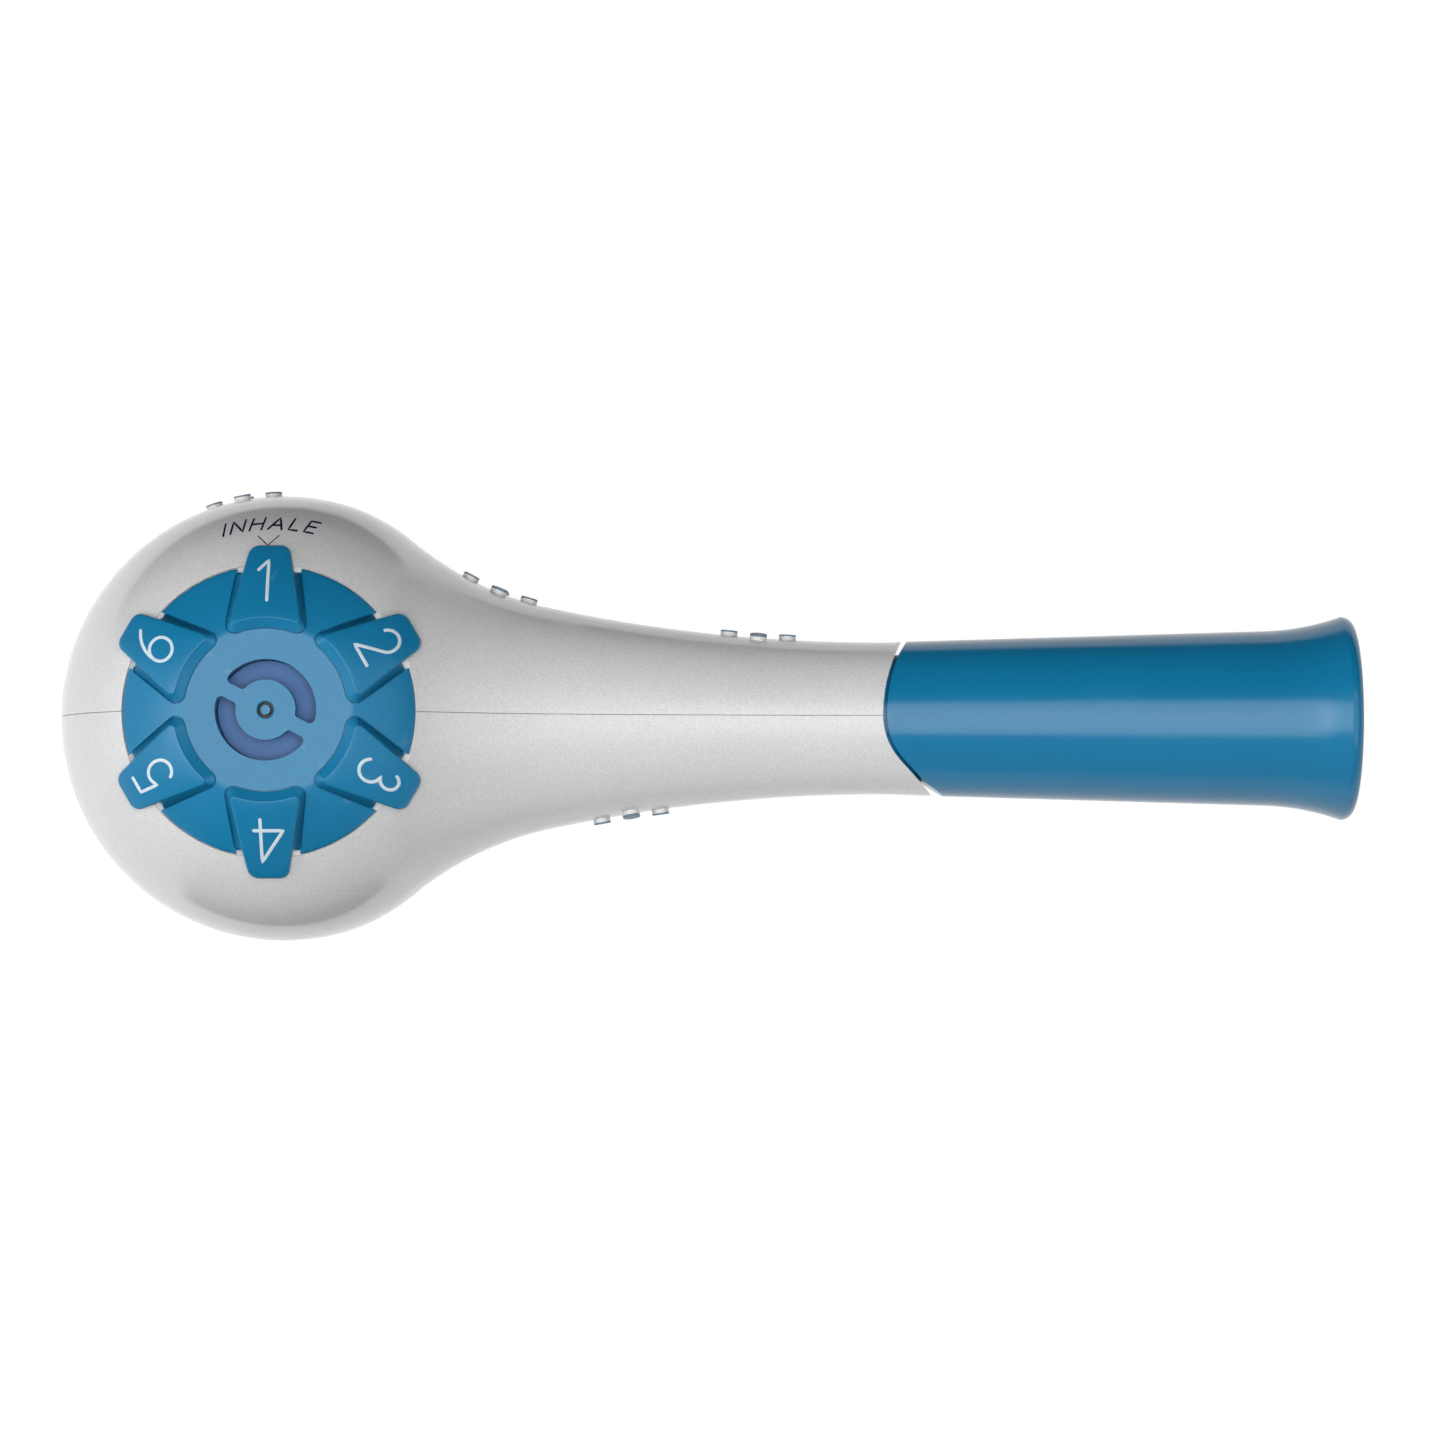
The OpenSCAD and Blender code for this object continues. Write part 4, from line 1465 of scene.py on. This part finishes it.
@dataclass
class FaceLabel:
    """The plain function word and the pointer printed beside a dial."""

    form: OuterForm
    side: Side
    turn: float = -1.3
    height: float = 1.5 * MM
    foot: float = 21.15 * MM
    spread: float = 28.2
    stretch: float = 1.3
    lean: float = 0.3
    stroke: float = 0.24 * MM
    relief: float = 0.02 * MM
    pointer_stroke: float = 0.13 * MM
    pointer_half: float = 1.2 * MM
    pointer_foot: float = 19.1 * MM
    pointer_height: float = 1.2 * MM

    def build(self) -> Object:
        """Draws the word and the pointer on the ball.

        Returns:
            The joined marks.
        """
        ball = self.form.head_radius
        pen = Lettering(
            self.form, self.side, ball, self.stroke, self.relief, self.stretch, self.lean
        )
        pieces = pen.word(self.side.name, self.height, self.foot, self.turn, self.spread)
        thin = Lettering(self.form, self.side, ball, self.pointer_stroke, self.relief)
        half, rise = self.pointer_half, self.pointer_height
        arms = flat((-half, rise), (0, 0), (half, rise))
        pieces += thin.mark([arms], thin.spot(self.pointer_foot, self.turn))
        label = join(f"{self.side.name.lower()}_label", pieces)
        smooth(label, 60)
        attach(label, "body")
        return label

    def dress(self, label: Object) -> None:
        """Prints the label in dark ink."""
        paint(label, Finishes.ink_navy.material())


@dataclass
class InnerWorks:
    """The pieces of the CAD frame that stay as they are and only get their finish."""

    finishes: dict[str, Finish]

    def build(self) -> list[tuple[Object, Finish]]:
        """Pairs each CAD piece with its finish.

        Returns:
            The pairs of both sides and of the mouthpiece.
        """
        pairs = []
        for name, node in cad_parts.items():
            kind = name.split("_", 1)[1] if name.startswith(("inhale_", "exhale_")) else name
            if kind in self.finishes:
                pairs.append((node, self.finishes[kind]))
        return pairs

    def dress(self, pairs: Sequence[tuple[Object, Finish]]) -> None:
        """Paints each piece through its own material slots.

        Args:
            pairs: the pieces with their finishes.
        """
        for node, finish in pairs:
            for slot in node.material_slots:
                slot.material = finish.material()


# Studio


@dataclass
class Studio:
    """The camera, the floor that the trainer lies on, the lamps and the surroundings."""

    form: OuterForm
    camera_place: tuple[float, float, float] = (-0.0743, -0.0226, 0.5506)
    camera_target: tuple[float, float, float] = (-0.0743, -0.00047, 0)
    field_of_view: float = math.radians(17.6)
    floor_contact: tuple[float, float, float] = (-0.1154, 0, -0.0257)
    floor_tilt: float = math.radians(6.5)
    floor_size: float = 8.0
    floor_glow: float = 0.93
    cards: tuple[tuple[float, float, float, float], ...] = (
        (0.01, 0.046, 0.19, -0.026),
        (-0.165, 0.0525, 0.16, -0.0225),
        (-0.125, -0.056, 0.07, -0.026),
    )
    card_high: float = 0.068
    fill_from: Vector = field(default_factory=lambda: Vector((0, -1, 0.5)).normalized())
    steep_enough: float = math.radians(5)

    def camera(self) -> None:
        """Sets the camera at the photograph's viewing angle."""
        data = bpy.data.cameras.new("camera")
        data.sensor_width = 36
        data.lens = data.sensor_width / 2 / math.tan(self.field_of_view / 2)
        data.clip_start, data.clip_end = 0.01, 50
        camera = in_scene(bpy.data.objects.new("camera", data))
        camera.location = self.camera_place
        look = Vector(self.camera_target) - Vector(self.camera_place)
        camera.rotation_euler = look.to_track_quat("-Z", "Y").to_euler()
        bpy.context.scene.camera = camera

    def floor(self) -> None:
        """Lays the pale floor under the exhale dial's tabs and the lip."""
        floor = fresh(bpy.ops.mesh.primitive_plane_add, size=self.floor_size)
        floor.name = "floor"
        tilt = Matrix.Rotation(-self.floor_tilt, 4, "Y")
        floor.data.transform(Matrix.Translation(self.floor_contact) @ tilt)
        material, g = new_material("floor_white")
        seen = g.seen()
        paper = g.add("TexNoise", Vector=g.place(), Scale=60.0, Detail=3.0).outputs[0]
        tone = g.blend(g.ramp(paper, 0.3, 0.7, 0, 1), grey(0.15), grey(0.17))
        matte = g.add("BsdfDiffuse", Color=tone).outputs[0]
        glow = g.add("Emission", Color=grey(1), Strength=self.floor_glow).outputs[0]
        both = g.add("AddShader", i0=matte, i1=glow).outputs[0]
        mixed = g.add("MixShader", i0=seen, i1=matte, i2=both)
        g.add("OutputMaterial", i0=mixed.outputs[0])
        paint(floor, material)

    def panel(
        self, name: str, place: Sequence[float], size: tuple[float, float], power: float,
        reach: Reach = Reach.ALL,
    ) -> None:
        """Hangs a soft panel that faces the trainer, or one flat above it.

        Args:
            name: the lamp's name.
            place: its place.
            size: its width and height.
            power: its power in watts.
            reach: what it shows in.
        """
        data = bpy.data.lights.new(name, "AREA")
        data.shape = "RECTANGLE"
        data.size, data.size_y = size
        data.energy = power
        lamp = in_scene(bpy.data.objects.new(name, data))
        lamp.location = place
        lamp.visible_diffuse = reach is not Reach.GLOSS
        lamp.visible_glossy = reach is not Reach.MATT
        aim = Vector((self.form.head_x / 2, 0, 0)) - lamp.location
        if aim.angle(Vector((0, 0, -1))) > self.steep_enough:
            lamp.rotation_euler = aim.to_track_quat("-Z", "Y").to_euler()

    def dark_cards(self) -> None:
        """Stands dark cards beside the trainer, which show only in reflections of its rims."""
        material, g = new_material("card_black")
        cloth = g.add("TexNoise", Vector=g.place(), Scale=400.0, Detail=2.0).outputs[0]
        matte = g.add("BsdfDiffuse", Color=g.blend(cloth, grey(0.02), grey(0.04)))
        g.add("OutputMaterial", i0=matte.outputs[0])
        for x, y, length, low in self.cards:
            card = fresh(bpy.ops.mesh.primitive_plane_add, size=1)
            card.name = "dark_card"
            card.data.transform(
                Matrix.Translation((x, y, (low + self.card_high) / 2))
                @ Matrix.Rotation(QUARTER, 4, "X")
                @ Matrix.Diagonal((length, self.card_high - low, 1, 1))
            )
            paint(card, material)
            card.visible_camera = card.visible_diffuse = card.visible_shadow = False

    def surroundings(self) -> None:
        """Makes a room with a white horizon, dim above, lighter towards -Y than towards +Y."""
        world = bpy.data.worlds.new("studio")
        bpy.context.scene.world = world
        world.use_nodes = True
        g = Graph(world.node_tree)
        seen = g.seen()
        around = g.add("TexCoord").outputs["Generated"]
        way = g.add("SeparateXYZ", i0=around).outputs
        dim = g.blend(g.ramp(way[1], -0.7, 0.7, 0, 1), grey(0.42), grey(0.05))
        wall = g.blend(g.ramp(way[2], 0.02, 0.12, 0, 1), grey(1), dim)
        shown = g.add("Background", Color=wall, Strength=1.0).outputs[0]
        dot = {"operation": "DOT_PRODUCT"}
        toward = g.add("VectorMath", dot, i0=around, i1=self.fill_from).outputs["Value"]
        fill = g.blend(g.ramp(toward, 0.3, 1, 0, 1), grey(0.02), grey(0.1))
        soft = g.add("Background", Color=fill, Strength=1.0).outputs[0]
        mixed = g.add("MixShader", i0=seen, i1=soft, i2=shown)
        g.add("OutputWorld", i0=mixed.outputs[0])

    def build(self) -> None:
        """Sets the studio up."""
        self.camera()
        self.floor()
        self.surroundings()
        self.dark_cards()
        self.panel("front_panel", (-0.055, -0.03, 0.78), (0.55, 0.667), 3.6)
        self.panel("top_lamp", (0.0, -0.05, 0.78), (0.3, 0.3), 1.45, Reach.MATT)
        self.panel("key_lamp", (-0.6, -0.08, 0.42), (0.34, 0.34), 0.94, Reach.MATT)
        self.panel("low_left_lamp", (-0.66, 0, 0.048), (0.5, 0.08), 0.9, Reach.MATT)
        self.panel("near_lamp", (-0.063, -0.557, 0.22), (0.5, 0.3), 0.25, Reach.MATT)
        self.panel("side_reflector", (0.46, -0.02, 0.55), (0.75, 0.55), 1.67, Reach.GLOSS)
        self.panel("left_reflector", (-0.67, -0.01, 0.78), (0.58, 0.9), 4.9, Reach.GLOSS)
        bpy.context.scene.view_settings.view_transform = "Standard"


def main() -> None:
    """Builds and dresses every piece and reports it."""
    logging.basicConfig(level=logging.INFO, format="%(name)s: %(message)s")
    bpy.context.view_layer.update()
    GROUPS["grain"] = moulded_grain()
    GROUPS["rub"] = rubbed_edge()
    low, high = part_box("inhale_spindle")
    head_x = (low.x + high.x) / 2
    form = OuterForm(head_x, head_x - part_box("finger_side_shell")[0].x)
    pads = {Grip.FINGER: (-4.9 * MM, 25.2 * MM, 55.8 * MM), Grip.THUMB: (40.8 * MM,)}
    sides = [(HalfShell(form, grip), StudCaps(form, grip, pads[grip])) for grip in Grip]
    for maker in (*sides[0], *sides[1], Mouthpiece(form)):
        piece = maker.build()
        maker.dress(piece)
        log.info("%s: %d faces", piece.name, len(piece.data.polygons))
    for side, settings in ((Side.INHALE, 6), (Side.EXHALE, 5)):
        dial = Dial(form, side, settings)
        piece, digits = dial.build(), dial.digits()
        dial.dress(piece, digits)
        log.info("%s: %d tabs, %d faces", piece.name, settings, len(piece.data.polygons))
        label = FaceLabel(form, side)
        marks = label.build()
        label.dress(marks)
        log.info("%s: printed", marks.name)
    works = InnerWorks({
        "orifice_disc": Finishes.disc_violet, "spindle": Finishes.pin_blue,
        "spindle_clip": Finishes.pin_steel, "port_plate": Finishes.inner_white,
        "port_seal": Finishes.seal_blue, "click_spring": Finishes.pin_steel,
        "valve_seat": Finishes.inner_white, "valve": Finishes.valve_silicone,
        "mouthpiece_seal": Finishes.seal_blue,
    })
    pairs = works.build()
    works.dress(pairs)
    log.info("inner works: %d pieces dressed", len(pairs))
    Studio(form).build()


if __name__ == "__main__":
    main()
